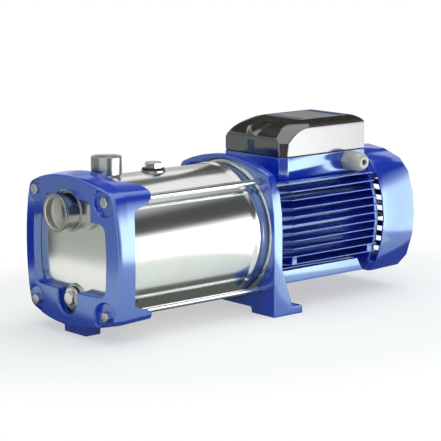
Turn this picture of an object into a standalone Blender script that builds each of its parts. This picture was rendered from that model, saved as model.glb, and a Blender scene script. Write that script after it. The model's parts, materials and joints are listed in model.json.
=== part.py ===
"""Horizontal self-priming multistage pump with its flanged motor.

Metres, +Z up, +X along the shaft from the suction end to the motor.
The origin is the middle of the front foot's sole, under the shaft line.
"""
from math import atan2, cos, pi, radians, sin, sqrt, tan

import bmesh
import bpy
from mathutils import Matrix, Vector

# Sizes that several pieces share
BODY_RADIUS = 0.0915
GROUND_CLEARANCE = 0.0164
SHAFT_HEIGHT = BODY_RADIUS + GROUND_CLEARANCE
BODY_END = 0.2470
SEAT_GAP = 0.0003
RUNNING_GAP = 0.0008
OVERRUN = 0.012
MERGE_DISTANCE = 0.000002

# Tie bolts that clamp the barrel between the brackets
TIE_CLEARANCE = 0.01209
TIE_ANGLE = radians(44.8)
TIE_Y = (BODY_RADIUS + TIE_CLEARANCE) * cos(TIE_ANGLE)
TIE_RISE = (BODY_RADIUS + TIE_CLEARANCE) * sin(TIE_ANGLE)
TIE_RADIUS = 0.0040
TIE_HOLE_RADIUS = 0.0045
TIE_HEAD_FLATS = 0.013
TIE_HEAD_HEIGHT = 0.0054
TIE_THREAD_DEPTH = 0.0095

# Front bracket
BRACKET_FRONT = -0.0247
CROWN_RADIUS = 0.580
BRACKET_SIDE_COVER = 0.0151
BRACKET_CORNER_Y = TIE_Y + BRACKET_SIDE_COVER
BRACKET_TOP_COVER = 0.0095
BRACKET_CORNER_RISE = TIE_RISE + BRACKET_TOP_COVER
BRACKET_SIDE_BOW = 0.0120
BRACKET_TOP_BOW = 0.0190
BRACKET_BOTTOM_BOW = 0.0140
BRACKET_CORNER_ROUND = 0.010
PARTING_LINE_X = 0.001
FRONT_DRAFT = 0.0016
REAR_DRAFT = 0.0022
LOBE_END = 0.0460
LOBE_SIDE_COVER = 0.0015
LOBE_OUTER_Y = BODY_RADIUS + LOBE_SIDE_COVER
LOBE_TOP_COVER = 0.0020
LOBE_OUTER_RISE = BODY_RADIUS + LOBE_TOP_COVER
LOBE_TIP_INSET_Y = 0.0235
LOBE_TIP_Y = BODY_RADIUS - LOBE_TIP_INSET_Y
LOBE_TIP_INSET = 0.0187
LOBE_TIP_RISE = BODY_RADIUS - LOBE_TIP_INSET
LOBE_ROUND = 0.012
LOBE_EDGE_ROUND = 0.003
SCALLOP_TOP_X = 0.0170
SCALLOP_SIDE_X = 0.0130
SCALLOP_TOP_INSET = 0.0405
SCALLOP_TOP_Y = BODY_RADIUS - SCALLOP_TOP_INSET
SCALLOP_SIDE_INSET = 0.0310
SCALLOP_SIDE_RISE = BODY_RADIUS - SCALLOP_SIDE_INSET
SCALLOP_BOW = 0.0040
SCALLOP_ROUND = 0.010
WINDOW_SIDE_INSET = 0.0180
WINDOW_HALF_WIDTH = BODY_RADIUS - WINDOW_SIDE_INSET
WINDOW_SIDE_BOW = 0.0040
WINDOW_TOP_INSET = 0.0470
WINDOW_TOP = BODY_RADIUS - WINDOW_TOP_INSET
WINDOW_BOTTOM_INSET = 0.0425
WINDOW_BOTTOM = WINDOW_BOTTOM_INSET - BODY_RADIUS
WINDOW_ROUND = 0.013
PORT_NOTCH_RADIUS = 0.0290
PORT_NOTCH_HALF_WIDTH = 0.0482
PORT_NOTCH_TOP_INSET = 0.0205
PORT_NOTCH_TOP = BODY_RADIUS - PORT_NOTCH_TOP_INSET
PORT_NOTCH_ROUND = 0.009
DRAIN_NOTCH_RADIUS = 0.0205
BOLT_SEAT_X = -0.0160
BOLT_SEAT_RADIUS = 0.0190
BOLT_SEAT_RIM = 0.0022
FOOT_LENGTH = 0.024
FOOT_HALF_WIDTH = 0.023
FOOT_HEIGHT = 0.0085
FOOT_FLARE = 0.011
FOOT_FLARE_HEIGHT = 0.0165

# Pump body: barrel and domed front end in one drawn shell
BODY_APEX = -0.0125
BODY_CROWN = 0.0040
BODY_KNUCKLE = 0.013
BODY_WALL = 0.0016
BODY_FIT = 0.0005
BEAD_FROM_END = 0.0330
BEAD_START = BODY_END - BEAD_FROM_END
BEAD_LENGTH = 0.0180
BEAD_HEIGHT = 0.0016
RIM_HEIGHT = 0.0030
RIM_RADIUS = BODY_RADIUS + RIM_HEIGHT
RIM_THICKNESS = 0.0026

# Suction socket, welded to the front end
SUCTION_INSET = 0.0385
SUCTION_RISE = BODY_RADIUS - SUCTION_INSET
SUCTION_MOUTH_X = -0.0420
SUCTION_RADIUS = 0.0235
SUCTION_LIP_RADIUS = 0.0250
SUCTION_LIP_LENGTH = 0.004
SUCTION_BORE_RADIUS = 0.0203
SUCTION_COLLAR_RADIUS = 0.0265
SUCTION_COLLAR_LENGTH = 0.006

# Delivery socket, welded on top of the barrel
DELIVERY_X = 0.0414
DELIVERY_HEIGHT = 0.0268
DELIVERY_TOP_Z = SHAFT_HEIGHT + BODY_RADIUS + DELIVERY_HEIGHT
DELIVERY_RADIUS = 0.0200
DELIVERY_BORE_RADIUS = 0.0153
DELIVERY_LIP_CHAMFER = 0.0008
DELIVERY_FOOT_CHAMFER = 0.0025

# Filler and drain: boss in the shell, washer and hexagon plug
FILLER_X = 0.1190
DRAIN_INSET = 0.0315
DRAIN_RISE = DRAIN_INSET - BODY_RADIUS
BOSS_RADIUS = 0.0160
BOSS_BORE_RADIUS = 0.0103
BOSS_LENGTH = 0.009
BOSS_FLANGE = 0.0015
PLUG_SHANK_RADIUS = 0.0100
PLUG_SHANK_LENGTH = 0.012
PLUG_FLATS = 0.022
PLUG_HEAD_HEIGHT = 0.0075
WASHER_RADIUS = 0.0148
WASHER_THICKNESS = 0.002
DRAIN_SEAT_RADIUS = 0.0185
DRAIN_SEAT_LENGTH = 0.0035
DRAIN_PLUG_FLATS = 0.017
DRAIN_PLUG_HEAD_HEIGHT = 0.0070
DRAIN_WASHER_THICKNESS = 0.0012

# Inlet parts between the suction chamber and the stages
INLET_WALL_X = 0.0180
INLET_WALL_THICKNESS = 0.002
INLET_WALL_LIP = 0.008
EJECTOR_START = 0.0060
EJECTOR_MOUTH_RADIUS = 0.0170
EJECTOR_THROAT_RADIUS = 0.0105
EJECTOR_WALL = 0.0025
EJECTOR_FLANGE_RADIUS = 0.0300
EJECTOR_FLANGE = 0.003

# Stages
STAGE_COUNT = 4
STAGE_START_FROM_END = 0.1550
STAGE_START = BODY_END - STAGE_START_FROM_END
STAGE_PITCH = 0.0300
STAGE_CLEARANCE = 0.0215
STAGE_RADIUS = BODY_RADIUS - STAGE_CLEARANCE
STAGE_WALL = 0.0025
STAGE_DISC = 0.002
STAGE_COVER_THICKNESS = 0.0026
EYE_RADIUS = 0.0200
RETURN_GAP = 0.0055
RETURN_VANE_LENGTH = 0.0070
RETURN_VANE_COUNT = 5
IMPELLER_CLEARANCE = 0.0150
IMPELLER_RADIUS = STAGE_RADIUS - IMPELLER_CLEARANCE
IMPELLER_OFFSET = 0.0030
IMPELLER_DISC = 0.0018
IMPELLER_PASSAGE = 0.0060
IMPELLER_COLLAR = 0.0040
IMPELLER_COLLAR_WALL = 0.0016
IMPELLER_BLADE_COUNT = 5
IMPELLER_HUB_RADIUS = 0.0125
BLADE_THICKNESS = 0.0018
BLADE_INNER_RADIUS = 0.0165
BLADE_SINK = 0.0006
BLADE_WRAP = radians(78)
VANE_WRAP = radians(55)

# Shaft, with a step for each piece it carries
SHAFT_NOSE = 0.0120
SHAFT_START = STAGE_START - SHAFT_NOSE
SHAFT_THREAD_RADIUS = 0.0050
SHAFT_PUMP_RADIUS = 0.0080
SHAFT_BEARING_RADIUS = 0.0100
SHAFT_ROTOR_RADIUS = 0.0125
SHAFT_REAR_RADIUS = 0.0085
SHAFT_FAN_RADIUS = 0.0070
NUT_FLATS = 0.017
NUT_LENGTH = 0.008

# Back plate, barrel O-ring and mechanical seal
BACK_PLATE_THICKNESS = 0.0020
BACK_PLATE_DEPTH = 0.0120
BACK_PLATE_STEP_INSET = 0.0053
BACK_PLATE_STEP_RADIUS = BODY_RADIUS - BACK_PLATE_STEP_INSET
BACK_PLATE_HOLE_RADIUS = 0.0120
SPACER_WALL = 0.0020
O_RING_RADIUS = 0.0015
SEAL_SPRING_LENGTH = 0.0075
SEAL_SPRING_RADIUS = 0.0115
SEAL_WIRE_RADIUS = 0.0009
SEAL_SPRING_TURNS = 3
SEAL_RING_LENGTH = 0.0070
SEAL_RING_RADIUS = 0.0165
SEAL_SEAT_LENGTH = 0.0060
SEAL_SEAT_RADIUS = 0.0190
SEAL_SEAT_BORE = 0.0110
SEAL_CUP_WALL = 0.0030

# Motor bracket
BARREL_ENTRY = 0.0054
MOTOR_BRACKET_FRONT = BODY_END - BARREL_ENTRY
MOTOR_BRACKET_SIDE = 0.0145
MOTOR_BRACKET_PLATE = 0.0124
MOTOR_BRACKET_SHOULDER = 0.0041
MOTOR_BRACKET_SHOULDER_Z = SHAFT_HEIGHT + MOTOR_BRACKET_SHOULDER
MOTOR_BRACKET_SIDE_COVER = 0.0112
MOTOR_BRACKET_HALF_WIDTH = BODY_RADIUS + MOTOR_BRACKET_SIDE_COVER
ARCH_HEIGHT = 0.0080
ARCH_ROUND = 0.005
SIDE_FOOT_WIDTH = 0.0450
SIDE_FOOT_LENGTH = 0.0519
SIDE_FOOT_END = MOTOR_BRACKET_FRONT + SIDE_FOOT_LENGTH
SIDE_FOOT_HEIGHT = 0.0105
GUSSET_WIDTH = 0.0080
GUSSET_TOP_Z = 0.0650
GUSSET_TOE = 0.0170
GUSSET_TOE_Z = 0.0170
FOOT_HOLE_RADIUS = 0.0050
FOOT_HOLE_FROM_END = 0.0135
FOOT_HOLE_X = SIDE_FOOT_END - FOOT_HOLE_FROM_END
FOOT_HOLE_INSET = 0.0260
REGISTER_CLEARANCE = 0.0010
REGISTER_RADIUS = RIM_RADIUS + REGISTER_CLEARANCE
REGISTER_DEPTH = 0.0084
REGISTER_CHAMFER = 0.0015
CENTRE_DISC_INSET = 0.0065
CENTRE_DISC_RADIUS = BODY_RADIUS - CENTRE_DISC_INSET
CENTRE_DISC_DEPTH = 0.0184
CENTRE_DISC_END = MOTOR_BRACKET_FRONT + CENTRE_DISC_DEPTH
SPIGOT_LENGTH = 0.0060
BEARING_BOSS_RADIUS = 0.0310
BEARING_BOSS_DEPTH = 0.0304
BEARING_BOSS_END = MOTOR_BRACKET_FRONT + BEARING_BOSS_DEPTH
BRACKET_SHAFT_HOLE = 0.0125

# Ball bearings
FRONT_BEARING_DEPTH = 0.0144
FRONT_BEARING_X = MOTOR_BRACKET_FRONT + FRONT_BEARING_DEPTH
SHAFT_STEP_GAP = 0.0020
SHAFT_BEARING_START = FRONT_BEARING_X - SHAFT_STEP_GAP
FRONT_BEARING_RADIUS = 0.0235
FRONT_BEARING_WIDTH = 0.0140
REAR_BEARING_RADIUS = 0.0200
REAR_BEARING_WIDTH = 0.0120
RACE_WALL = 0.0030
BALL_COUNT = 6
CAGE_WALL = 0.0016
CAGE_END_GAP = 0.0030

# Stator and rotor
STATOR_DEPTH = 0.0584
STATOR_START = MOTOR_BRACKET_FRONT + STATOR_DEPTH
STATOR_LENGTH = 0.1000
STATOR_BORE_RADIUS = 0.0355
STATOR_SLOT_COUNT = 9
STATOR_SLOT_WIDTH = 0.0080
STATOR_SLOT_RADIUS = 0.0490
WINDING_INNER_RADIUS = 0.0390
WINDING_OUTER_RADIUS = 0.0560
WINDING_OVERHANG = 0.0190
WINDING_END_GAP = 0.0006
ROTOR_RING_INNER = 0.0220
ROTOR_RING_LENGTH = 0.0080
ROTOR_RING_INSET = 0.0015

# Motor housing
HOUSING_PAST_STATOR = 0.0480
HOUSING_END = STATOR_START + STATOR_LENGTH + HOUSING_PAST_STATOR
REAR_BEARING_INSET = 0.0025
REAR_BEARING_X = HOUSING_END - REAR_BEARING_INSET
SLAB_INSET = 0.0150
SLAB_END = HOUSING_END - SLAB_INSET
HOUSING_BORE_RADIUS = 0.0603
HOUSING_RADIUS = 0.0655
FIN_PITCH = 0.0110
FIN_THICKNESS = 0.0026
FIN_HALF_WIDTH = 0.0930
FIN_CURVE_RADIUS = 0.190
FIN_LEVELS_UP = 6
FIN_LEVELS_DOWN = 4
FIN_START_DEPTH = 0.0234
FIN_START = MOTOR_BRACKET_FRONT + FIN_START_DEPTH
FIN_RUN_OUT = 0.0210
FIN_STEP = 0.0090
NECK_HALF_WIDTH = 0.0450
NECK_HEIGHT = 0.0200
SLAB_HALF_WIDTH = 0.0770
SLAB_TOP = -0.0537
SLAB_BOTTOM = -0.0713
SLAB_SLANT = 0.0100
POCKET_BLOCK_LENGTH = 0.0080
POCKET_BLOCK_DEPTH = 0.0090
POCKET_END_INSET = 0.0080

# Rear end shield and motor studs
SHIELD_INSET = 0.0070
SHIELD_THICKNESS = 0.0062
SHIELD_SPIGOT = 0.0060
SHIELD_HUB_RADIUS = 0.0270
SHIELD_HUB_WALL = 0.0027
SHIELD_LUG_WIDTH = 0.0160
SHIELD_LUG_INNER = 0.0835
SHIELD_LUG_LENGTH = 0.0240
SHIELD_LUG_END = HOUSING_END + SHIELD_LUG_LENGTH
STUD_Y = 0.0577
STUD_RISE = 0.0495
STUD_RADIUS = 0.0025
STUD_HEAD_FLATS = 0.008
STUD_HEAD_HEIGHT = 0.004
STUD_THREAD_DEPTH = 0.0080

# Fan and fan cover
FAN_GAP = 0.0200
FAN_START = HOUSING_END + FAN_GAP
SHAFT_PAST_HOUSING = 0.0520
SHAFT_END = HOUSING_END + SHAFT_PAST_HOUSING
FAN_HUB_RADIUS = 0.0140
FAN_HUB_LENGTH = 0.0240
FAN_DISC_RADIUS = 0.0500
FAN_DISC_THICKNESS = 0.0016
FAN_BLADE_RADIUS = 0.0720
FAN_BLADE_THICKNESS = 0.0018
FAN_BLADE_LENGTH = 0.0220
FAN_BLADES = 7
COVER_LIP_GAP = 0.0155
COVER_LIP_X = HOUSING_END + COVER_LIP_GAP
COVER_REACH = 0.0760
COVER_END = HOUSING_END + COVER_REACH
COVER_HALF_WIDTH = 0.0930
COVER_FACET_NEAR = 0.0620
COVER_FACET_FAR = 0.0795
COVER_WALL = 0.0020
COVER_DRAFT = 0.0016
COVER_EDGE_ROUND = 0.0030
GRILLE_PITCH = 0.0150
GRILLE_SLOT_HEIGHT = 0.0070
GRILLE_RIB = 0.0060
GRILLE_RADIUS = 0.0700
GRILLE_COLUMNS = 2

# Terminal box
BOX_OVERHANG = 0.0030
BOX_LENGTH = 0.1580
BOX_REAR = HOUSING_END + BOX_OVERHANG
BOX_FRONT = BOX_REAR - BOX_LENGTH
BOX_HALF_WIDTH = 0.0620
BOX_CHAMFER_X = 0.0110
BOX_CHAMFER_Y = 0.0075
BOX_REAR_CHAMFER = 0.0020
BOX_WALL = 0.0030
BOX_SEAM_RISE = 0.0981
BOX_SEAM_Z = SHAFT_HEIGHT + BOX_SEAM_RISE
BOX_COVER_HEIGHT = 0.0456
BOX_TOP_Z = BOX_SEAM_Z + BOX_COVER_HEIGHT
GASKET_THICKNESS = 0.0010
GASKET_INSET = 0.0010
GASKET_WIDTH = 0.0018
HOOD_STRAIGHT_HEIGHT = 0.0185
HOOD_STRAIGHT_Z = BOX_SEAM_Z + HOOD_STRAIGHT_HEIGHT
CAPACITOR_RADIUS = 0.0175
CAPACITOR_LENGTH = 0.0800
CAPACITOR_Y = 0.0330
TERMINAL_LENGTH = 0.0600
TERMINAL_WIDTH = 0.0240
TERMINAL_HEIGHT = 0.0120
TERMINAL_Y = -0.0200
TERMINAL_WAYS = 6
TERMINAL_SLOT = 0.0050
TERMINAL_SLOT_DEPTH = 0.0040

# Cable gland
GLAND_FROM_REAR = 0.0344
GLAND_X = BOX_REAR - GLAND_FROM_REAR
GLAND_DROP = 0.0140
GLAND_Z = BOX_SEAM_Z - GLAND_DROP
GLAND_FLATS = 0.0246
GLAND_HEX_LENGTH = 0.0080
GLAND_THREAD_RADIUS = 0.0098
GLAND_THREAD_INSIDE = 0.0080
GLAND_NECK_RADIUS = 0.0092
GLAND_NECK_LENGTH = 0.0100
GLAND_BORE_RADIUS = 0.0065
GLAND_NUT_RADIUS = 0.0136
GLAND_NUT_LENGTH = 0.0245
GLAND_NUT_RIB_LENGTH = 0.0095
GLAND_NUT_WALL = 0.0028
GLAND_CABLE_RADIUS = 0.0038
GLAND_SEAL_LENGTH = 0.0080

# Facet counts
ROUND_STEPS = 36
PORT_STEPS = 20
INNER_STEPS = 16
SMALL_STEPS = 8


# Shared modelling steps

def clear_scene():
    for item in list(bpy.data.objects):
        bpy.data.objects.remove(item)


def make_material(name, colour, roughness, metallic):
    material = bpy.data.materials.new(name)
    material.use_nodes = True
    shader = material.node_tree.nodes["Principled BSDF"]
    shader.inputs["Base Color"].default_value = (*colour, 1.0)
    shader.inputs["Roughness"].default_value = roughness
    shader.inputs["Metallic"].default_value = metallic
    material.diffuse_color = (*colour, 1.0)
    return material


def place(axis, along, across, up):
    """Point from its distance along the axis and its two distances across it."""
    if axis == "X":
        return Vector((along, across, up))
    if axis == "Y":
        return Vector((across, along, up))
    return Vector((across, up, along))


def finish_mesh(name, shape):
    bmesh.ops.remove_doubles(shape, verts=shape.verts, dist=MERGE_DISTANCE)
    bmesh.ops.recalc_face_normals(shape, faces=shape.faces)
    mesh = bpy.data.meshes.new(name)
    shape.to_mesh(mesh)
    shape.free()
    piece = bpy.data.objects.new(name, mesh)
    bpy.context.scene.collection.objects.link(piece)
    return piece


def loft(name, axis, sections):
    """Closed solid through outlines of equal point count, each at its distance along the axis."""
    shape = bmesh.new()
    rings = []
    for along, outline in sections:
        rings.append([shape.verts.new(place(axis, along, u, v)) for u, v in outline])
    for ring, following in zip(rings, rings[1:]):
        for i in range(len(ring)):
            j = (i + 1) % len(ring)
            shape.faces.new((ring[i], ring[j], following[j], following[i]))
    shape.faces.new(rings[0])
    shape.faces.new(rings[-1])
    return finish_mesh(name, shape)


def prism(name, axis, outline, start, end):
    return loft(name, axis, [(start, outline), (end, outline)])


def turned(name, axis, profile, steps, centre=(0.0, 0.0)):
    """Solid of revolution. The profile is a closed loop of (along, radius) points."""
    shape = bmesh.new()
    verts = []
    for along, radius in profile:
        verts.append(shape.verts.new(place(axis, along, centre[0] + radius, centre[1])))
    edges = []
    for i in range(len(verts)):
        first = profile[i]
        second = profile[(i + 1) % len(verts)]
        if first[1] > 0 or second[1] > 0:
            edges.append(shape.edges.new((verts[i], verts[(i + 1) % len(verts)])))
    bmesh.ops.spin(
        shape,
        geom=verts + edges,
        cent=place(axis, 0, *centre),
        axis=place(axis, 1, 0, 0),
        angle=2 * pi,
        steps=steps,
        use_merge=True,
    )
    return finish_mesh(name, shape)


def bar(name, low, high):
    """Block between two opposite corners."""
    outline = [(low[1], low[2]), (high[1], low[2]), (high[1], high[2]), (low[1], high[2])]
    return prism(name, "X", outline, low[0], high[0])


def circle(radius, steps, centre=(0.0, 0.0), turn=0.0):
    points = []
    for i in range(steps):
        angle = turn + 2 * pi * i / steps
        points.append((centre[0] + radius * cos(angle), centre[1] + radius * sin(angle)))
    return points


def hexagon(flats, turn=0.0, centre=(0.0, 0.0)):
    return circle(flats / 2 / cos(pi / 6), 6, centre, turn)


def rounded(corners, steps=3):
    """Outline through corners (u, v, radius), each turned by an arc of its own radius."""
    points = []
    count = len(corners)
    for i, (u, v, radius) in enumerate(corners):
        here = Vector((u, v))
        if radius == 0:
            points.append((u, v))
            continue
        back = Vector(corners[i - 1][:2]) - here
        ahead = Vector(corners[(i + 1) % count][:2]) - here
        half = back.angle(ahead) / 2
        reach = min(radius / tan(half), back.length / 2, ahead.length / 2)
        bisector = (back.normalized() + ahead.normalized()).normalized()
        centre = here + bisector * reach / cos(half)
        start = here + back.normalized() * reach - centre
        end = here + ahead.normalized() * reach - centre
        first = atan2(start.y, start.x)
        sweep = atan2(start.x * end.y - start.y * end.x, start.dot(end))
        for k in range(steps + 1):
            angle = first + sweep * k / steps
            points.append((centre.x + start.length * cos(angle), centre.y + start.length * sin(angle)))
    return points


def bow(start, end, sag, steps=6):
    """Corner entries between two points on a shallow arc that bulges to the right of its way."""
    first = Vector(start)
    last = Vector(end)
    way = last - first
    outward = Vector((way.y, -way.x)).normalized()
    entries = []
    for k in range(1, steps):
        share = k / steps
        point = first + way * share + outward * sag * 4 * share * (1 - share)
        entries.append((point.x, point.y, 0))
    return entries


def mirrored(half):
    """Corner entries of one side followed by the same side seen in a mirror across u = 0."""
    return half + [(-u, v, radius) for u, v, radius in reversed(half)]


def shifted(outline, du, dv):
    return [(u + du, v + dv) for u, v in outline]


def settle(piece):
    """Turns a piece's modifiers into its mesh."""
    graph = bpy.context.evaluated_depsgraph_get()
    mesh = bpy.data.meshes.new_from_object(piece.evaluated_get(graph))
    mesh.name = piece.name
    piece.modifiers.clear()
    piece.data = mesh
    join_flat_faces(mesh)


def join_flat_faces(mesh):
    """Merges faces of one plane and splits what remains into faces of at most four corners."""
    shape = bmesh.new()
    shape.from_mesh(mesh)
    bmesh.ops.remove_doubles(shape, verts=shape.verts, dist=MERGE_DISTANCE)
    bmesh.ops.dissolve_degenerate(shape, dist=MERGE_DISTANCE, edges=shape.edges)
    bmesh.ops.dissolve_limit(shape, angle_limit=radians(0.2), verts=shape.verts, edges=shape.edges)
    bmesh.ops.triangulate(shape, faces=[face for face in shape.faces if len(face.verts) > 4])
    shape.to_mesh(mesh)
    shape.free()


def combine(piece, tool, operation):
    step = piece.modifiers.new(operation.lower(), "BOOLEAN")
    step.operation = operation
    step.solver = "EXACT"
    step.object = tool
    settle(piece)
    bpy.data.objects.remove(tool)


def cut(piece, *tools):
    for tool in tools:
        combine(piece, tool, "DIFFERENCE")


def add(piece, *tools):
    for tool in tools:
        combine(piece, tool, "UNION")


def keep(piece, *tools):
    for tool in tools:
        combine(piece, tool, "INTERSECT")


def dress(piece, material):
    """Gives a finished piece its material and smooth round faces."""
    join_flat_faces(piece.data)
    piece.data.materials.clear()
    piece.data.materials.append(material)
    piece.data.shade_smooth()
    piece.data.set_sharp_from_angle(angle=radians(32))
    return piece


def copy_piece(piece, name, offset):
    twin = bpy.data.objects.new(name, piece.data)
    twin.location = piece.location + Vector(offset)
    bpy.context.scene.collection.objects.link(twin)
    return twin


def centre_on(piece, origin):
    """Puts a piece's own origin at a point without moving its shape."""
    origin = Vector(origin)
    piece.data.transform(Matrix.Translation(-origin))
    piece.location = origin
    return piece


def carry(axis_empty, pieces):
    for piece in pieces:
        piece.parent = axis_empty
        piece.location = piece.location - axis_empty.location


def make_axis(name, point):
    axis_empty = bpy.data.objects.new(name, None)
    axis_empty.location = point
    bpy.context.scene.collection.objects.link(axis_empty)
    return axis_empty


# Front bracket

def bracket_outline(grow):
    """Bowed square of the brackets about the shaft line, grown outwards by a distance."""
    corner_y = BRACKET_CORNER_Y + grow
    corner_rise = BRACKET_CORNER_RISE + grow
    corner_round = BRACKET_CORNER_ROUND + grow
    low = (corner_y, -corner_rise)
    high = (corner_y, corner_rise)
    side = [(low[0], low[1], corner_round)]
    side += bow(low, high, BRACKET_SIDE_BOW, 6)
    side += [(high[0], high[1], corner_round)]
    top = bow(high, (-corner_y, corner_rise), BRACKET_TOP_BOW, 8)
    other = [(-u, v, radius) for u, v, radius in reversed(side)]
    bottom = bow((-corner_y, -corner_rise), low, BRACKET_BOTTOM_BOW, 6)
    return shifted(rounded(side + top + other + bottom), 0, SHAFT_HEIGHT)


def lobed_profile(front, scallop_x, outer, tip, root, middle, bulge):
    """Outline seen square to the shaft: full width ahead of the scallop, then two lobes."""
    near = [
        (scallop_x, outer + OVERRUN, 0),
        (scallop_x, outer, 0),
        (LOBE_END, outer, LOBE_ROUND),
        (LOBE_END, tip, LOBE_EDGE_ROUND),
        (scallop_x, root, SCALLOP_ROUND),
    ]
    scallop = bow((scallop_x, root), (scallop_x, -root), bulge, 4)
    far = [(x, -y, radius) for x, y, radius in reversed(near)]
    return shifted(rounded(near + scallop + far) + front, 0, middle)


def crown_points(half_width):
    """Points of the crowned front face in plan, from one side to the other."""
    points = []
    for k in range(-4, 5):
        y = half_width * k / 4
        x = BRACKET_FRONT + CROWN_RADIUS - sqrt(CROWN_RADIUS ** 2 - y ** 2)
        points.append((x, y))
    return points


def body_profile(clearance):
    """Outside of the pump body from the apex to the straight barrel, as (x, radius) points."""
    radius = BODY_RADIUS + clearance
    flat = radius - BODY_KNUCKLE
    points = []
    for k in range(4):
        share = k / 3
        points.append((BODY_APEX - clearance + BODY_CROWN * share ** 2, flat * share))
    start = points[-1][0] + BODY_KNUCKLE
    for k in range(1, 5):
        angle = pi / 2 * k / 4
        points.append((start - BODY_KNUCKLE * cos(angle), flat + BODY_KNUCKLE * sin(angle)))
    return points


def corner_signs():
    return [(1, 1), (-1, 1), (-1, -1), (1, -1)]


def build_front_bracket(paint):
    """Crowned casting with a window, bolt seats, rear lobes and the front foot."""
    bracket = loft("front_bracket", "X", [
        (BRACKET_FRONT - OVERRUN, bracket_outline(-FRONT_DRAFT)),
        (PARTING_LINE_X, bracket_outline(0)),
        (LOBE_END + OVERRUN, bracket_outline(-REAR_DRAFT)),
    ])
    half_width = BRACKET_CORNER_Y + BRACKET_SIDE_BOW + OVERRUN
    plan = lobed_profile(
        crown_points(half_width), SCALLOP_TOP_X, LOBE_OUTER_Y, LOBE_TIP_Y, SCALLOP_TOP_Y, 0, 0)
    keep(bracket, prism("plan", "Z", plan, -OVERRUN, 2 * SHAFT_HEIGHT + OVERRUN))
    square_front = [
        (BRACKET_FRONT - OVERRUN, -LOBE_OUTER_RISE - OVERRUN),
        (BRACKET_FRONT - OVERRUN, LOBE_OUTER_RISE + OVERRUN),
    ]
    side = lobed_profile(
        square_front, SCALLOP_SIDE_X, LOBE_OUTER_RISE, LOBE_TIP_RISE, SCALLOP_SIDE_RISE,
        SHAFT_HEIGHT, SCALLOP_BOW)
    keep(bracket, prism("side", "Y", side, -half_width, half_width))

    foot_side = [
        (FOOT_HALF_WIDTH, 0, 0),
        (FOOT_HALF_WIDTH, FOOT_HEIGHT, 0),
        (FOOT_HALF_WIDTH + FOOT_FLARE, FOOT_FLARE_HEIGHT, 0),
        (FOOT_HALF_WIDTH + FOOT_FLARE, FOOT_FLARE_HEIGHT + OVERRUN / 2, 0),
    ]
    foot = [(u, v) for u, v, _ in mirrored(foot_side)]
    add(bracket, prism("foot", "X", foot, -FOOT_LENGTH / 2, FOOT_LENGTH / 2))

    pocket = body_profile(BODY_FIT)
    pocket += [(LOBE_END + OVERRUN, BODY_RADIUS + BODY_FIT), (LOBE_END + OVERRUN, 0)]
    cut(bracket, turned("pocket", "X", pocket, ROUND_STEPS, (0, SHAFT_HEIGHT)))
    cut_window(bracket)
    cut_bolt_seats(bracket)
    return dress(bracket, paint)


def cut_window(bracket):
    start = BRACKET_FRONT - OVERRUN
    end = BODY_APEX + BODY_CROWN + OVERRUN
    width = WINDOW_HALF_WIDTH
    corners = [(width, WINDOW_BOTTOM, WINDOW_ROUND)]
    corners += bow((width, WINDOW_BOTTOM), (width, WINDOW_TOP), WINDOW_SIDE_BOW, 4)
    corners += [(width, WINDOW_TOP, WINDOW_ROUND)]
    window = shifted(rounded(mirrored(corners)), 0, SHAFT_HEIGHT)
    notch_side = [
        (PORT_NOTCH_HALF_WIDTH, 0, 0),
        (PORT_NOTCH_HALF_WIDTH, PORT_NOTCH_TOP, PORT_NOTCH_ROUND),
    ]
    notch = shifted(rounded(mirrored(notch_side)), 0, SHAFT_HEIGHT)
    port = circle(PORT_NOTCH_RADIUS, PORT_STEPS, (0, SHAFT_HEIGHT + SUCTION_RISE))
    drain_centre = SHAFT_HEIGHT + DRAIN_RISE
    drain = [(DRAIN_NOTCH_RADIUS, SHAFT_HEIGHT), (-DRAIN_NOTCH_RADIUS, SHAFT_HEIGHT)]
    for k in range(9):
        angle = pi + pi * k / 8
        drain.append((DRAIN_NOTCH_RADIUS * cos(angle), drain_centre + DRAIN_NOTCH_RADIUS * sin(angle)))
    cut(
        bracket,
        prism("window", "X", window, start, end),
        prism("notch", "X", notch, start, end),
        prism("port", "X", port, start, end),
        prism("drain", "X", drain, start, end),
    )


def cut_bolt_seats(bracket):
    start = BRACKET_FRONT - OVERRUN
    for side, level in corner_signs():
        centre = (side * TIE_Y, SHAFT_HEIGHT + level * TIE_RISE)
        seat = prism("seat", "X", circle(BOLT_SEAT_RADIUS, INNER_STEPS, centre), start, BOLT_SEAT_X)
        inside = bracket_outline(-FRONT_DRAFT - BOLT_SEAT_RIM)
        keep(seat, prism("inside", "X", inside, start - OVERRUN, BOLT_SEAT_X + OVERRUN))
        hole = circle(TIE_HOLE_RADIUS, SMALL_STEPS, centre)
        cut(bracket, seat, prism("hole", "X", hole, BOLT_SEAT_X - OVERRUN, LOBE_END + OVERRUN))


def build_tie_bolts(steel):
    """Long bolts with a hexagon head, one for each corner."""
    head = prism("tie_bolt_1", "X", hexagon(TIE_HEAD_FLATS), -TIE_HEAD_HEIGHT, 0)
    thread_end = MOTOR_BRACKET_FRONT + TIE_THREAD_DEPTH - SEAT_GAP - BOLT_SEAT_X
    shank = circle(TIE_RADIUS, SMALL_STEPS)
    add(head, prism("shank", "X", shank, -TIE_HEAD_HEIGHT / 2, thread_end))
    dress(head, steel)
    bolts = [head]
    for number in range(2, 5):
        bolts.append(copy_piece(head, "tie_bolt_%d" % number, (0, 0, 0)))
    for bolt, (side, level) in zip(bolts, corner_signs()):
        bolt.location = (BOLT_SEAT_X - SEAT_GAP, side * TIE_Y, SHAFT_HEIGHT + level * TIE_RISE)
    return bolts


# Pump body with its sockets and bosses

def barrel_rear(radius):
    """Rear half of the shell, as (x, radius) points: bead, then the turned-out rim."""
    points = []
    for k in range(5):
        share = k / 4
        rise = BEAD_HEIGHT * sin(pi * share) ** 2
        points.append((BEAD_START + BEAD_LENGTH * share, radius + rise))
    points.append((BODY_END - RIM_THICKNESS, radius))
    return points


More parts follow.
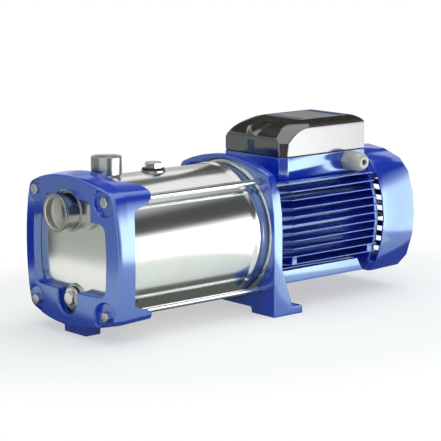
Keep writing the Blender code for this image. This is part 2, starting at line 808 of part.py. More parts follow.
def build_pump_body(steel):
    """Drawn shell: domed front end, straight barrel, bead and rolled rear rim."""
    outside = body_profile(0) + barrel_rear(BODY_RADIUS)
    outside += [(BODY_END - RIM_THICKNESS, RIM_RADIUS), (BODY_END, RIM_RADIUS)]
    inside = []
    inner_radius = BODY_RADIUS - BODY_WALL
    inner_flat = inner_radius - BODY_KNUCKLE
    for k in range(3):
        share = k / 2
        inside.append((BODY_APEX + BODY_WALL + BODY_CROWN * share ** 2, inner_flat * share))
    start = inside[-1][0] + BODY_KNUCKLE
    for k in range(1, 4):
        angle = pi / 2 * k / 3
        inside.append((start - BODY_KNUCKLE * cos(angle), inner_flat + BODY_KNUCKLE * sin(angle)))
    inside.append((BODY_END, inner_radius))
    body = turned("pump_body", "X", outside + list(reversed(inside)), ROUND_STEPS, (0, SHAFT_HEIGHT))

    suction = circle(SUCTION_BORE_RADIUS, PORT_STEPS, (0, SHAFT_HEIGHT + SUCTION_RISE))
    drain = circle(BOSS_RADIUS + SEAT_GAP, INNER_STEPS, (0, SHAFT_HEIGHT + DRAIN_RISE))
    cut(body, prism("suction", "X", suction, BODY_APEX - OVERRUN, BODY_APEX + BODY_CROWN + OVERRUN))
    cut(body, prism("drain", "X", drain, BODY_APEX - OVERRUN, BODY_APEX + BODY_CROWN + OVERRUN))
    top = SHAFT_HEIGHT + BODY_RADIUS
    delivery = circle(DELIVERY_BORE_RADIUS, PORT_STEPS, (DELIVERY_X, 0))
    filler = circle(BOSS_RADIUS + SEAT_GAP, INNER_STEPS, (FILLER_X, 0))
    cut(body, prism("delivery", "Z", delivery, top - OVERRUN, top + OVERRUN))
    cut(body, prism("filler", "Z", filler, top - OVERRUN, top + OVERRUN))
    return dress(body, steel)


def front_surface_x(rise):
    """Where the domed front end's outside lies at a distance from the shaft line."""
    share = rise / (BODY_RADIUS - BODY_KNUCKLE)
    return BODY_APEX + BODY_CROWN * share ** 2


def build_suction_socket(steel):
    """Turned socket with a lip at its mouth and a welding collar against the dome."""
    foot = front_surface_x(SUCTION_RISE - SUCTION_COLLAR_RADIUS) + OVERRUN
    collar_start = BODY_APEX - SUCTION_COLLAR_LENGTH
    profile = [
        (SUCTION_MOUTH_X, SUCTION_BORE_RADIUS),
        (SUCTION_MOUTH_X, SUCTION_LIP_RADIUS),
        (SUCTION_MOUTH_X + SUCTION_LIP_LENGTH / 2, SUCTION_LIP_RADIUS),
        (SUCTION_MOUTH_X + SUCTION_LIP_LENGTH, SUCTION_RADIUS),
        (collar_start, SUCTION_RADIUS),
        (collar_start, SUCTION_COLLAR_RADIUS),
        (foot, SUCTION_COLLAR_RADIUS),
        (foot, SUCTION_BORE_RADIUS),
    ]
    centre = (0, SHAFT_HEIGHT + SUCTION_RISE)
    socket = turned("suction_socket", "X", profile, PORT_STEPS, centre)
    dome = body_profile(SEAT_GAP)
    dome += [(BODY_KNUCKLE + OVERRUN, BODY_RADIUS + SEAT_GAP), (BODY_KNUCKLE + OVERRUN, 0)]
    cut(socket, turned("dome", "X", dome, ROUND_STEPS, (0, SHAFT_HEIGHT)))
    return dress(centre_on(socket, (BODY_APEX, *centre)), steel)


def build_delivery_socket(steel):
    """Turned socket whose foot is saddled over the barrel."""
    foot = SHAFT_HEIGHT + BODY_RADIUS - OVERRUN / 2
    lip = DELIVERY_LIP_CHAMFER
    weld_top = SHAFT_HEIGHT + BODY_RADIUS + DELIVERY_FOOT_CHAMFER / 2
    profile = [
        (foot, DELIVERY_BORE_RADIUS),
        (foot, DELIVERY_RADIUS - DELIVERY_FOOT_CHAMFER),
        (weld_top, DELIVERY_RADIUS - DELIVERY_FOOT_CHAMFER),
        (weld_top + DELIVERY_FOOT_CHAMFER, DELIVERY_RADIUS),
        (DELIVERY_TOP_Z - lip, DELIVERY_RADIUS),
        (DELIVERY_TOP_Z, DELIVERY_RADIUS - lip),
        (DELIVERY_TOP_Z, DELIVERY_BORE_RADIUS),
    ]
    socket = turned("delivery_socket", "Z", profile, PORT_STEPS, (DELIVERY_X, 0))
    barrel = [
        (DELIVERY_X - 2 * DELIVERY_RADIUS, 0),
        (DELIVERY_X - 2 * DELIVERY_RADIUS, BODY_RADIUS + SEAT_GAP),
        (DELIVERY_X + 2 * DELIVERY_RADIUS, BODY_RADIUS + SEAT_GAP),
        (DELIVERY_X + 2 * DELIVERY_RADIUS, 0),
    ]
    cut(socket, turned("barrel", "X", barrel, ROUND_STEPS, (0, SHAFT_HEIGHT)))
    return dress(centre_on(socket, (DELIVERY_X, 0, SHAFT_HEIGHT + BODY_RADIUS)), steel)


def build_filler(steel, rubber):
    """Threaded boss let into the barrel's top, its washer and its hexagon plug."""
    skin = SHAFT_HEIGHT + BODY_RADIUS
    centre = (FILLER_X, 0)
    profile = [
        (skin - BOSS_LENGTH, BOSS_BORE_RADIUS),
        (skin - BOSS_LENGTH, BOSS_RADIUS),
        (skin + BOSS_FLANGE, BOSS_RADIUS),
        (skin + BOSS_FLANGE, BOSS_BORE_RADIUS),
    ]
    boss = dress(turned("filler_boss", "Z", profile, INNER_STEPS, centre), steel)
    seat = skin + BOSS_FLANGE + SEAT_GAP
    ring = [
        (seat, PLUG_SHANK_RADIUS + SEAT_GAP),
        (seat, WASHER_RADIUS),
        (seat + WASHER_THICKNESS, WASHER_RADIUS),
        (seat + WASHER_THICKNESS, PLUG_SHANK_RADIUS + SEAT_GAP),
    ]
    washer = dress(turned("filler_plug_washer", "Z", ring, INNER_STEPS, centre), rubber)
    under_head = seat + WASHER_THICKNESS + SEAT_GAP
    head = hexagon(PLUG_FLATS, pi / 6, centre)
    plug = prism("filler_plug", "Z", head, under_head, under_head + PLUG_HEAD_HEIGHT)
    shank = circle(PLUG_SHANK_RADIUS, INNER_STEPS, centre)
    shank_end = under_head - PLUG_SHANK_LENGTH
    add(plug, prism("shank", "Z", shank, shank_end, under_head + PLUG_HEAD_HEIGHT / 2))
    dress(plug, steel)
    for piece in (boss, washer, plug):
        centre_on(piece, (FILLER_X, 0, skin))
    return [boss, washer, plug]


def build_drain(steel, rubber):
    """Threaded boss with a round seat in the front end, its washer and its hexagon plug."""
    skin = front_surface_x(abs(DRAIN_RISE))
    centre = (0, SHAFT_HEIGHT + DRAIN_RISE)
    seat = skin - DRAIN_SEAT_LENGTH
    profile = [
        (seat, BOSS_BORE_RADIUS),
        (seat, DRAIN_SEAT_RADIUS),
        (skin + OVERRUN, DRAIN_SEAT_RADIUS),
        (skin + OVERRUN, BOSS_BORE_RADIUS),
    ]
    boss = turned("drain_boss", "X", profile, INNER_STEPS, centre)
    dome = body_profile(SEAT_GAP)
    dome += [(BODY_KNUCKLE + OVERRUN, BODY_RADIUS + SEAT_GAP), (BODY_KNUCKLE + OVERRUN, 0)]
    cut(boss, turned("dome", "X", dome, ROUND_STEPS, (0, SHAFT_HEIGHT)))
    sleeve = [
        (seat + DRAIN_SEAT_LENGTH / 2, BOSS_BORE_RADIUS),
        (seat + DRAIN_SEAT_LENGTH / 2, BOSS_RADIUS),
        (skin + BOSS_LENGTH, BOSS_RADIUS),
        (skin + BOSS_LENGTH, BOSS_BORE_RADIUS),
    ]
    add(boss, turned("sleeve", "X", sleeve, INNER_STEPS, centre))
    dress(boss, steel)
    washer_front = seat - SEAT_GAP - DRAIN_WASHER_THICKNESS
    ring = [
        (washer_front, PLUG_SHANK_RADIUS + SEAT_GAP),
        (washer_front, WASHER_RADIUS),
        (seat - SEAT_GAP, WASHER_RADIUS),
        (seat - SEAT_GAP, PLUG_SHANK_RADIUS + SEAT_GAP),
    ]
    washer = dress(turned("drain_plug_washer", "X", ring, INNER_STEPS, centre), rubber)
    under_head = washer_front - SEAT_GAP
    head = hexagon(DRAIN_PLUG_FLATS, pi / 6, centre)
    plug = prism("drain_plug", "X", head, under_head - DRAIN_PLUG_HEAD_HEIGHT, under_head)
    flange = circle(WASHER_RADIUS, INNER_STEPS, centre)
    add(plug, prism("flange", "X", flange, under_head - DRAIN_PLUG_HEAD_HEIGHT / 3, under_head))
    shank = circle(PLUG_SHANK_RADIUS, INNER_STEPS, centre)
    add(plug, prism("shank", "X", shank, under_head - DRAIN_PLUG_HEAD_HEIGHT / 2,
                    under_head + PLUG_SHANK_LENGTH))
    dress(plug, steel)
    for piece in (boss, washer, plug):
        centre_on(piece, (skin, *centre))
    return [boss, washer, plug]


# Inlet parts

def shaft_line(name, profile, steps, material):
    """Turned piece on the shaft line, with its origin there."""
    piece = turned(name, "X", profile, steps)
    start = min(along for along, _ in profile)
    centre_on(piece, (start, 0, 0))
    piece.location.z = SHAFT_HEIGHT
    return dress(piece, material)


def build_inlet(steel, plastic):
    """Wall behind the suction chamber, and the ejector tube that leads to the first stage."""
    inside = BODY_RADIUS - BODY_WALL - SEAT_GAP
    hole = EJECTOR_THROAT_RADIUS + EJECTOR_WALL + SEAT_GAP
    back = INLET_WALL_X + INLET_WALL_THICKNESS
    wall = [
        (INLET_WALL_X, hole),
        (INLET_WALL_X, inside - INLET_WALL_THICKNESS),
        (INLET_WALL_X - INLET_WALL_LIP, inside - INLET_WALL_THICKNESS),
        (INLET_WALL_X - INLET_WALL_LIP, inside),
        (back, inside),
        (back, hole),
    ]
    wall_piece = shaft_line("inlet_wall", wall, ROUND_STEPS, steel)
    throat = EJECTOR_THROAT_RADIUS
    flange_start = INLET_WALL_X - SEAT_GAP - EJECTOR_FLANGE
    end = STAGE_START - SEAT_GAP
    tube = [
        (EJECTOR_START, EJECTOR_MOUTH_RADIUS),
        (EJECTOR_START, EJECTOR_MOUTH_RADIUS + EJECTOR_WALL),
        (flange_start, throat + EJECTOR_WALL + EJECTOR_FLANGE),
        (flange_start, EJECTOR_FLANGE_RADIUS),
        (INLET_WALL_X - SEAT_GAP, EJECTOR_FLANGE_RADIUS),
        (INLET_WALL_X - SEAT_GAP, throat + EJECTOR_WALL),
        (back, throat + EJECTOR_WALL),
        (end, EYE_RADIUS + EJECTOR_WALL),
        (end, EYE_RADIUS),
        (INLET_WALL_X, throat),
    ]
    return [wall_piece, shaft_line("ejector_tube", tube, INNER_STEPS, plastic)]


# Stages

def curved_blade(inner, outer, wrap, thickness, turn):
    """Outline of a backward-curved blade: a spiral of constant thickness between two radii."""
    steps = 2
    left = []
    right = []
    for k in range(steps + 1):
        share = k / steps
        radius = inner + (outer - inner) * share
        angle = turn - wrap * share
        slope = atan2(-wrap * radius, outer - inner)
        across = angle + slope + pi / 2
        u = radius * cos(angle)
        v = radius * sin(angle)
        left.append((u + thickness / 2 * cos(across), v + thickness / 2 * sin(across)))
        right.append((u - thickness / 2 * cos(across), v - thickness / 2 * sin(across)))
    return left + list(reversed(right))


def build_impeller(brass):
    """Closed impeller: hub and back disc, curved blades, front shroud with its eye collar."""
    shroud_front = IMPELLER_OFFSET + IMPELLER_COLLAR - IMPELLER_DISC
    passage_start = shroud_front + IMPELLER_DISC
    passage_end = passage_start + IMPELLER_PASSAGE
    bore = SHAFT_PUMP_RADIUS + SEAT_GAP
    hub_end = STAGE_PITCH - SEAT_GAP
    back = [
        (0, bore),
        (0, IMPELLER_HUB_RADIUS),
        (passage_end, IMPELLER_HUB_RADIUS),
        (passage_end, IMPELLER_RADIUS),
        (passage_end + IMPELLER_DISC, IMPELLER_RADIUS),
        (passage_end + IMPELLER_DISC, IMPELLER_HUB_RADIUS),
        (hub_end, IMPELLER_HUB_RADIUS),
        (hub_end, bore),
    ]
    impeller = turned("impeller_1", "X", back, INNER_STEPS)
    collar = EYE_RADIUS - RUNNING_GAP
    shroud = [
        (shroud_front - IMPELLER_COLLAR / 2, collar - IMPELLER_COLLAR_WALL),
        (shroud_front - IMPELLER_COLLAR / 2, collar),
        (shroud_front, collar),
        (shroud_front, IMPELLER_RADIUS),
        (passage_start, IMPELLER_RADIUS),
        (passage_start, collar - IMPELLER_COLLAR_WALL),
    ]
    blades = turned("shroud", "X", shroud, INNER_STEPS)
    for number in range(IMPELLER_BLADE_COUNT):
        turn = 2 * pi * (number + 0.25) / IMPELLER_BLADE_COUNT
        outline = curved_blade(BLADE_INNER_RADIUS, IMPELLER_RADIUS - BLADE_THICKNESS, BLADE_WRAP,
                               BLADE_THICKNESS, turn)
        add(blades, prism("blade", "X", outline, passage_start - BLADE_SINK, passage_end + BLADE_SINK))
    add(impeller, blades)
    return dress(impeller, brass)


def build_diffuser(plastic):
    """Stage bowl: outer wall and rear disc, return vanes and the web they carry."""
    start = STAGE_COVER_THICKNESS + SEAT_GAP
    end = STAGE_PITCH
    inside = STAGE_RADIUS - STAGE_WALL
    hole = EYE_RADIUS
    bowl = [
        (start, inside),
        (start, STAGE_RADIUS),
        (end, STAGE_RADIUS),
        (end, hole),
        (end - STAGE_DISC, hole),
        (end - STAGE_DISC, inside),
    ]
    diffuser = turned("diffuser_1", "X", bowl, INNER_STEPS)
    web_end = end - STAGE_DISC - RETURN_VANE_LENGTH
    web_radius = inside - RETURN_GAP
    web_hole = IMPELLER_HUB_RADIUS + RUNNING_GAP
    web = turned("web", "X", [
        (web_end - STAGE_DISC, web_hole),
        (web_end - STAGE_DISC, web_radius),
        (web_end, web_radius),
        (web_end, web_hole),
    ], INNER_STEPS)
    for number in range(RETURN_VANE_COUNT):
        turn = 2 * pi * (number + 0.25) / RETURN_VANE_COUNT
        outline = curved_blade(EYE_RADIUS + BLADE_THICKNESS, web_radius - BLADE_THICKNESS, -VANE_WRAP,
                               BLADE_THICKNESS, turn)
        add(web, prism("vane", "X", outline, web_end - BLADE_SINK, end - STAGE_DISC + BLADE_SINK))
    add(diffuser, web)
    return dress(diffuser, plastic)


def build_stages(brass, plastic, steel):
    """Stage cover, then one bowl and one impeller for each stage, stacked along the shaft."""
    cover = [
        (0, EYE_RADIUS),
        (0, STAGE_RADIUS),
        (STAGE_COVER_THICKNESS, STAGE_RADIUS),
        (STAGE_COVER_THICKNESS, EYE_RADIUS),
    ]
    stage_cover = shaft_line("stage_cover", cover, INNER_STEPS, plastic)
    stage_cover.location.x = STAGE_START
    impeller = build_impeller(brass)
    diffuser = build_diffuser(plastic)
    impeller.location = (STAGE_START, 0, SHAFT_HEIGHT)
    diffuser.location = (STAGE_START, 0, SHAFT_HEIGHT)
    impellers = [impeller]
    diffusers = [diffuser]
    for number in range(1, STAGE_COUNT):
        offset = (number * STAGE_PITCH, 0, 0)
        impellers.append(copy_piece(impeller, "impeller_%d" % (number + 1), offset))
        diffusers.append(copy_piece(diffuser, "diffuser_%d" % (number + 1), offset))
    return [stage_cover] + diffusers, impellers


def stages_end():
    return STAGE_START + STAGE_COUNT * STAGE_PITCH


def build_shaft(steel):
    """One stepped shaft for the impellers, the bearings, the rotor and the fan."""
    rotor_start = FRONT_BEARING_X + FRONT_BEARING_WIDTH + SEAT_GAP
    rotor_end = REAR_BEARING_X - SEAT_GAP
    rear_end = REAR_BEARING_X + REAR_BEARING_WIDTH + SEAT_GAP
    steps = [
        (SHAFT_START, STAGE_START - SEAT_GAP, SHAFT_THREAD_RADIUS),
        (STAGE_START - SEAT_GAP, SHAFT_BEARING_START, SHAFT_PUMP_RADIUS),
        (SHAFT_BEARING_START, rotor_start, SHAFT_BEARING_RADIUS),
        (rotor_start, rotor_end, SHAFT_ROTOR_RADIUS),
        (rotor_end, rear_end, SHAFT_REAR_RADIUS),
        (rear_end, SHAFT_END, SHAFT_FAN_RADIUS),
    ]
    profile = [(SHAFT_START, 0)]
    for start, end, radius in steps:
        profile += [(start, radius), (end, radius)]
    profile.append((SHAFT_END, 0))
    shaft = shaft_line("shaft", profile, INNER_STEPS, steel)
    nut = prism("impeller_nut", "X", hexagon(NUT_FLATS), 0, NUT_LENGTH)
    hole = circle(SHAFT_THREAD_RADIUS + SEAT_GAP, INNER_STEPS)
    cut(nut, prism("hole", "X", hole, -OVERRUN, NUT_LENGTH + OVERRUN))
    nut.location = (STAGE_START - 2 * SEAT_GAP - NUT_LENGTH, 0, SHAFT_HEIGHT)
    return [shaft, dress(nut, steel)]


# Back plate and seal

def build_back_plate(steel, rubber):
    """Dished plate that closes the barrel, with the seal cup and the ring that holds the stages."""
    register_floor = MOTOR_BRACKET_FRONT + REGISTER_DEPTH
    flange_end = register_floor - SEAT_GAP
    flange_start = flange_end - BACK_PLATE_THICKNESS
    web_start = flange_end - BACK_PLATE_DEPTH - BACK_PLATE_THICKNESS
    web_end = web_start + BACK_PLATE_THICKNESS
    step = BACK_PLATE_STEP_RADIUS
    cup_inside = SEAL_SEAT_RADIUS + SEAT_GAP
    cup_start = web_start - SEAL_SEAT_LENGTH + BACK_PLATE_THICKNESS
    spacer_start = stages_end() + SEAT_GAP
    spacer_outside = STAGE_RADIUS - STAGE_WALL
    profile = [
        (web_start, BACK_PLATE_HOLE_RADIUS),
        (web_start, cup_inside),
        (cup_start, cup_inside),
        (cup_start, cup_inside + SEAL_CUP_WALL),
        (web_start, cup_inside + SEAL_CUP_WALL),
        (web_start, spacer_outside - SPACER_WALL),
        (spacer_start, spacer_outside - SPACER_WALL),
        (spacer_start, spacer_outside),
        (web_start, spacer_outside),
        (web_start, step),
        (flange_start, step),
        (flange_start, RIM_RADIUS),
        (flange_end, RIM_RADIUS),
        (flange_end, step - BACK_PLATE_THICKNESS),
        (web_end, step - BACK_PLATE_THICKNESS),
        (web_end, BACK_PLATE_HOLE_RADIUS),
    ]
    plate = turned("back_plate", "X", profile, ROUND_STEPS)
    plate.location = (0, 0, SHAFT_HEIGHT)
    centre_on_shaft(plate, web_start)
    dress(plate, steel)

    ring_radius = (step + BODY_RADIUS - BODY_WALL) / 2
    ring_x = flange_start - SEAT_GAP - O_RING_RADIUS
    section = circle(O_RING_RADIUS, 5, (ring_x, ring_radius))
    o_ring = shaft_line("body_o_ring", section, ROUND_STEPS, rubber)
    return [plate, o_ring]


def centre_on_shaft(piece, x):
    """Moves a shaft-line piece's own origin along the shaft to x."""
    piece.data.transform(Matrix.Translation((-x, 0, 0)))
    piece.location = (x, 0, SHAFT_HEIGHT)


def coil(name, wire, radius, length, turns, material):
    """Round-wire spring: a circle carried along a helix, with flat closed ends."""
    sides = 4
    stations = turns * 8
    shape = bmesh.new()
    rings = []
    for k in range(stations + 1):
        angle = 2 * pi * turns * k / stations
        x = wire + (length - 2 * wire) * k / stations
        ring = []
        for s in range(sides):
            around = 2 * pi * s / sides
            reach = radius + wire * cos(around)
            ring.append(shape.verts.new((x + wire * sin(around), reach * cos(angle), reach * sin(angle))))
        rings.append(ring)
    for ring, following in zip(rings, rings[1:]):
        for s in range(sides):
            t = (s + 1) % sides
            shape.faces.new((ring[s], ring[t], following[t], following[s]))
    shape.faces.new(rings[0])
    shape.faces.new(rings[-1])
    return dress(finish_mesh(name, shape), material)


def build_seal(carbon, ceramic, steel):
    """Mechanical seal: spring and carbon ring turn with the shaft, the ceramic seat stands still."""
    spring_start = stages_end() + SEAT_GAP
    ring_start = spring_start + SEAL_SPRING_LENGTH + SEAT_GAP
    register_floor = MOTOR_BRACKET_FRONT + REGISTER_DEPTH
    web_start = register_floor - SEAT_GAP - BACK_PLATE_DEPTH - BACK_PLATE_THICKNESS
    seat_end = web_start - SEAT_GAP
    seat_start = seat_end - SEAL_SEAT_LENGTH
    ring_end = seat_start - SEAT_GAP
    shaft_clear = SHAFT_PUMP_RADIUS + SEAT_GAP
    spring = coil("seal_spring", SEAL_WIRE_RADIUS, SEAL_SPRING_RADIUS,
                  ring_end - SEAL_RING_LENGTH - SEAT_GAP - spring_start, SEAL_SPRING_TURNS, steel)
    spring.location = (spring_start, 0, SHAFT_HEIGHT)
    ring = [
        (ring_end - SEAL_RING_LENGTH, shaft_clear),
        (ring_end - SEAL_RING_LENGTH, SEAL_RING_RADIUS),
        (ring_end, SEAL_RING_RADIUS - RUNNING_GAP),
        (ring_end, shaft_clear),
    ]
    seat = [
        (seat_start, SEAL_SEAT_BORE),
        (seat_start, SEAL_SEAT_RADIUS),
        (seat_end, SEAL_SEAT_RADIUS),
        (seat_end, SEAL_SEAT_BORE),
    ]
    turning = [
        spring,
        shaft_line("seal_ring", ring, INNER_STEPS, carbon),
    ]
    return [shaft_line("seal_seat", seat, INNER_STEPS, ceramic)], turning


# Motor bracket

def build_motor_bracket(paint):
    """Casting between pump and motor: barrel register, bearing boss and two side feet."""
    front = MOTOR_BRACKET_FRONT
    shoulder = (MOTOR_BRACKET_HALF_WIDTH, MOTOR_BRACKET_SHOULDER_Z)
    corner = (BRACKET_CORNER_Y, SHAFT_HEIGHT + BRACKET_CORNER_RISE)
    foot_inside = MOTOR_BRACKET_HALF_WIDTH - SIDE_FOOT_WIDTH
    side = [
        (foot_inside, ARCH_HEIGHT, ARCH_ROUND),
        (foot_inside, 0, 0),
        (MOTOR_BRACKET_HALF_WIDTH, 0, 0),
        (*shoulder, 0),
    ]
    side += bow(shoulder, corner, BRACKET_SIDE_BOW / 3, 3)
    side += [(*corner, BRACKET_CORNER_ROUND)]
    top = bow(corner, (-corner[0], corner[1]), BRACKET_TOP_BOW, 8)
    other = [(-u, v, radius) for u, v, radius in reversed(side)]
    outline = rounded(side + top + other, 2)
    bracket = prism("motor_bracket", "X", outline, front, SIDE_FOOT_END)

    side_end = front + MOTOR_BRACKET_SIDE
    top_z = 2 * SHAFT_HEIGHT + OVERRUN
    behind = [
        (side_end, top_z),
        (side_end, GUSSET_TOP_Z),
        (side_end + GUSSET_TOE, GUSSET_TOE_Z),
        (side_end + GUSSET_TOE, SIDE_FOOT_HEIGHT),
        (SIDE_FOOT_END + OVERRUN, SIDE_FOOT_HEIGHT),
        (SIDE_FOOT_END + OVERRUN, top_z),
    ]
    reach = MOTOR_BRACKET_HALF_WIDTH + OVERRUN
    web = MOTOR_BRACKET_HALF_WIDTH - GUSSET_WIDTH
    plate_end = front + MOTOR_BRACKET_PLATE
    cut(
        bracket,
        prism("behind", "Y", behind, -reach, reach),
        bar("between_webs", (plate_end, -web, SIDE_FOOT_HEIGHT), (SIDE_FOOT_END + OVERRUN, web, top_z)),
        bar("between_feet", (plate_end, -foot_inside, -OVERRUN),
            (SIDE_FOOT_END + OVERRUN, foot_inside, SIDE_FOOT_HEIGHT + OVERRUN)),
    )
    boss = [
        (plate_end - MOTOR_BRACKET_PLATE / 4, 0),
        (plate_end - MOTOR_BRACKET_PLATE / 4, CENTRE_DISC_RADIUS),
        (CENTRE_DISC_END, CENTRE_DISC_RADIUS),
        (CENTRE_DISC_END, HOUSING_BORE_RADIUS - SEAT_GAP),
        (CENTRE_DISC_END + SPIGOT_LENGTH, HOUSING_BORE_RADIUS - SEAT_GAP),
        (CENTRE_DISC_END + SPIGOT_LENGTH, BEARING_BOSS_RADIUS),
        (BEARING_BOSS_END, BEARING_BOSS_RADIUS),
        (BEARING_BOSS_END, 0),
    ]
    add(bracket, turned("boss", "X", boss, ROUND_STEPS, (0, SHAFT_HEIGHT)))
    floor = front + REGISTER_DEPTH
    register = [
        (front - OVERRUN, 0),
        (front - OVERRUN, REGISTER_RADIUS + REGISTER_CHAMFER + OVERRUN),
        (front, REGISTER_RADIUS + REGISTER_CHAMFER),
        (front + REGISTER_CHAMFER, REGISTER_RADIUS),
        (floor, REGISTER_RADIUS),
        (floor, 0),
    ]
    bearing_bore = FRONT_BEARING_RADIUS + SEAT_GAP
    bearing_floor = FRONT_BEARING_X - SEAT_GAP
    bore = [
        (front, 0),
        (front, BRACKET_SHAFT_HOLE),
        (bearing_floor, BRACKET_SHAFT_HOLE),
        (bearing_floor, bearing_bore),
        (BEARING_BOSS_END + OVERRUN, bearing_bore),
        (BEARING_BOSS_END + OVERRUN, 0),
    ]
    cut(
        bracket,
        turned("register", "X", register, ROUND_STEPS, (0, SHAFT_HEIGHT)),
        turned("bore", "X", bore, INNER_STEPS, (0, SHAFT_HEIGHT)),
    )
    cut_bracket_holes(bracket)
    return dress(bracket, paint)


def cut_bracket_holes(bracket):
    front = MOTOR_BRACKET_FRONT
    for side, level in corner_signs():
        tie = circle(TIE_HOLE_RADIUS, SMALL_STEPS, (side * TIE_Y, SHAFT_HEIGHT + level * TIE_RISE))
        stud = circle(STUD_RADIUS + SEAT_GAP, 8, (side * STUD_Y, SHAFT_HEIGHT + level * STUD_RISE))
        cut(
            bracket,
            prism("tie", "X", tie, front - OVERRUN, front + TIE_THREAD_DEPTH),
            prism("stud", "X", stud, CENTRE_DISC_END - STUD_THREAD_DEPTH, CENTRE_DISC_END + OVERRUN),
        )
    for side in (1, -1):
        centre = (FOOT_HOLE_X, side * (MOTOR_BRACKET_HALF_WIDTH - FOOT_HOLE_INSET))
        hole = circle(FOOT_HOLE_RADIUS, INNER_STEPS, centre)
        cut(bracket, prism("foot_hole", "Z", hole, -OVERRUN, SIDE_FOOT_HEIGHT + OVERRUN))


# Ball bearings

def build_bearing(prefix, x, outer, inner, width, steel):
    """Deep-groove ball bearing: two races, and the cage with its balls."""
    outer_race = [
        (0, outer - RACE_WALL),
        (0, outer),
        (width, outer),
        (width, outer - RACE_WALL),
    ]
    bore = inner + SEAT_GAP
    inner_race = [
        (0, bore),
        (0, bore + RACE_WALL),
        (width, bore + RACE_WALL),
        (width, bore),
    ]
    races = [
        shaft_line(prefix + "_outer", outer_race, INNER_STEPS, steel),
        shaft_line(prefix + "_inner", inner_race, INNER_STEPS, steel),
    ]
    low = bore + RACE_WALL + RUNNING_GAP
    high = outer - RACE_WALL - RUNNING_GAP
    pitch = (low + high) / 2
    ball = (high - low) / 2
    ring = [
        (CAGE_END_GAP, pitch - CAGE_WALL / 2),
        (CAGE_END_GAP, pitch + CAGE_WALL / 2),
        (width - CAGE_END_GAP, pitch + CAGE_WALL / 2),
        (width - CAGE_END_GAP, pitch - CAGE_WALL / 2),
    ]
    cage = turned(prefix + "_cage", "X", ring, 2 * BALL_COUNT)
    for number in range(BALL_COUNT):
        angle = 2 * pi * (number + 0.5) / BALL_COUNT
        shape = bmesh.new()
        bmesh.ops.create_uvsphere(shape, u_segments=6, v_segments=3, radius=ball)
        middle = Matrix.Translation((width / 2, pitch * cos(angle), pitch * sin(angle)))
        bmesh.ops.transform(shape, matrix=middle, verts=shape.verts)
        add(cage, finish_mesh("ball", shape))
    dress(cage, steel)
    for piece in (*races, cage):
        piece.location = (x, 0, SHAFT_HEIGHT)
    return races[0], races[1], cage


# Motor

def fin_half_width(rise):
    """Fin tips follow one large arc from the bottom of the housing to its top."""
    sag = FIN_CURVE_RADIUS - sqrt(FIN_CURVE_RADIUS ** 2 - rise ** 2)
    return FIN_HALF_WIDTH - sag


def fin_plan(half_width, inner):
    """Plan of one fin plate across the housing: narrow at the front, stepped out to full width."""
    side = [
        (FIN_START, inner),
        (FIN_START + FIN_STEP, half_width - FIN_STEP),
        (FIN_START + FIN_RUN_OUT, half_width - FIN_STEP / 3),
        (FIN_START + FIN_RUN_OUT + FIN_STEP / 6, half_width),
        (HOUSING_END - FIN_THICKNESS / 2, half_width),
        (HOUSING_END, half_width - FIN_THICKNESS / 2),
    ]
    other = [(x, -y) for x, y in reversed(side)]
    return side + other


def build_motor_housing(paint):
    """Die casting: bored tube, horizontal fins, lower slab and the seat for the terminal box."""
    start = CENTRE_DISC_END + SEAT_GAP
    tube = [
        (start, 0),
        (start, HOUSING_RADIUS),
        (HOUSING_END, HOUSING_RADIUS),
        (HOUSING_END, 0),
    ]
    housing = turned("motor_housing", "X", tube, ROUND_STEPS, (0, SHAFT_HEIGHT))
    for level in range(-FIN_LEVELS_DOWN, FIN_LEVELS_UP + 1):
        rise = level * FIN_PITCH
        half_width = fin_half_width(rise)
        core = sqrt(max(HOUSING_RADIUS ** 2 - rise ** 2, NECK_HALF_WIDTH ** 2))
        low = SHAFT_HEIGHT + rise - FIN_THICKNESS / 2
        add(housing, prism("fin", "Z", fin_plan(half_width, core), low, low + FIN_THICKNESS))
    neck_top = SHAFT_HEIGHT + FIN_LEVELS_UP * FIN_PITCH
    add(housing, bar("neck", (FIN_START + FIN_STEP, -NECK_HALF_WIDTH, neck_top - NECK_HEIGHT),
                     (HOUSING_END - FIN_STEP, NECK_HALF_WIDTH, neck_top)))
    slab_side = [
        (start + FIN_STEP, SHAFT_HEIGHT + SLAB_TOP),
        (SLAB_END - SLAB_SLANT, SHAFT_HEIGHT + SLAB_TOP),
        (SLAB_END, SHAFT_HEIGHT + SLAB_BOTTOM),
        (start + FIN_STEP, SHAFT_HEIGHT + SLAB_BOTTOM),
    ]
    add(housing, prism("slab", "Y", slab_side, -SLAB_HALF_WIDTH, SLAB_HALF_WIDTH))
    add_pockets(housing)
    bore = circle(HOUSING_BORE_RADIUS, ROUND_STEPS, (0, SHAFT_HEIGHT))
    cut(housing, prism("bore", "X", bore, start - OVERRUN, HOUSING_END + OVERRUN))
    return dress(housing, paint)


def add_pockets(housing):
    """End blocks that close the pocket between the two lowest fins on each side."""
    low = SHAFT_HEIGHT - FIN_LEVELS_DOWN * FIN_PITCH
    high = low + FIN_PITCH
    front = FIN_START + FIN_RUN_OUT + FIN_STEP / 3
    rear = HOUSING_END - POCKET_END_INSET - POCKET_BLOCK_LENGTH
    outside = fin_half_width(FIN_LEVELS_DOWN * FIN_PITCH) - FIN_THICKNESS / 4
    for side in (1, -1):
        for x in (front, rear):
            near = side * outside
            far = side * (outside - POCKET_BLOCK_DEPTH)
            add(housing, bar("block", (x, min(near, far), low), (x + POCKET_BLOCK_LENGTH, max(near, far), high)))


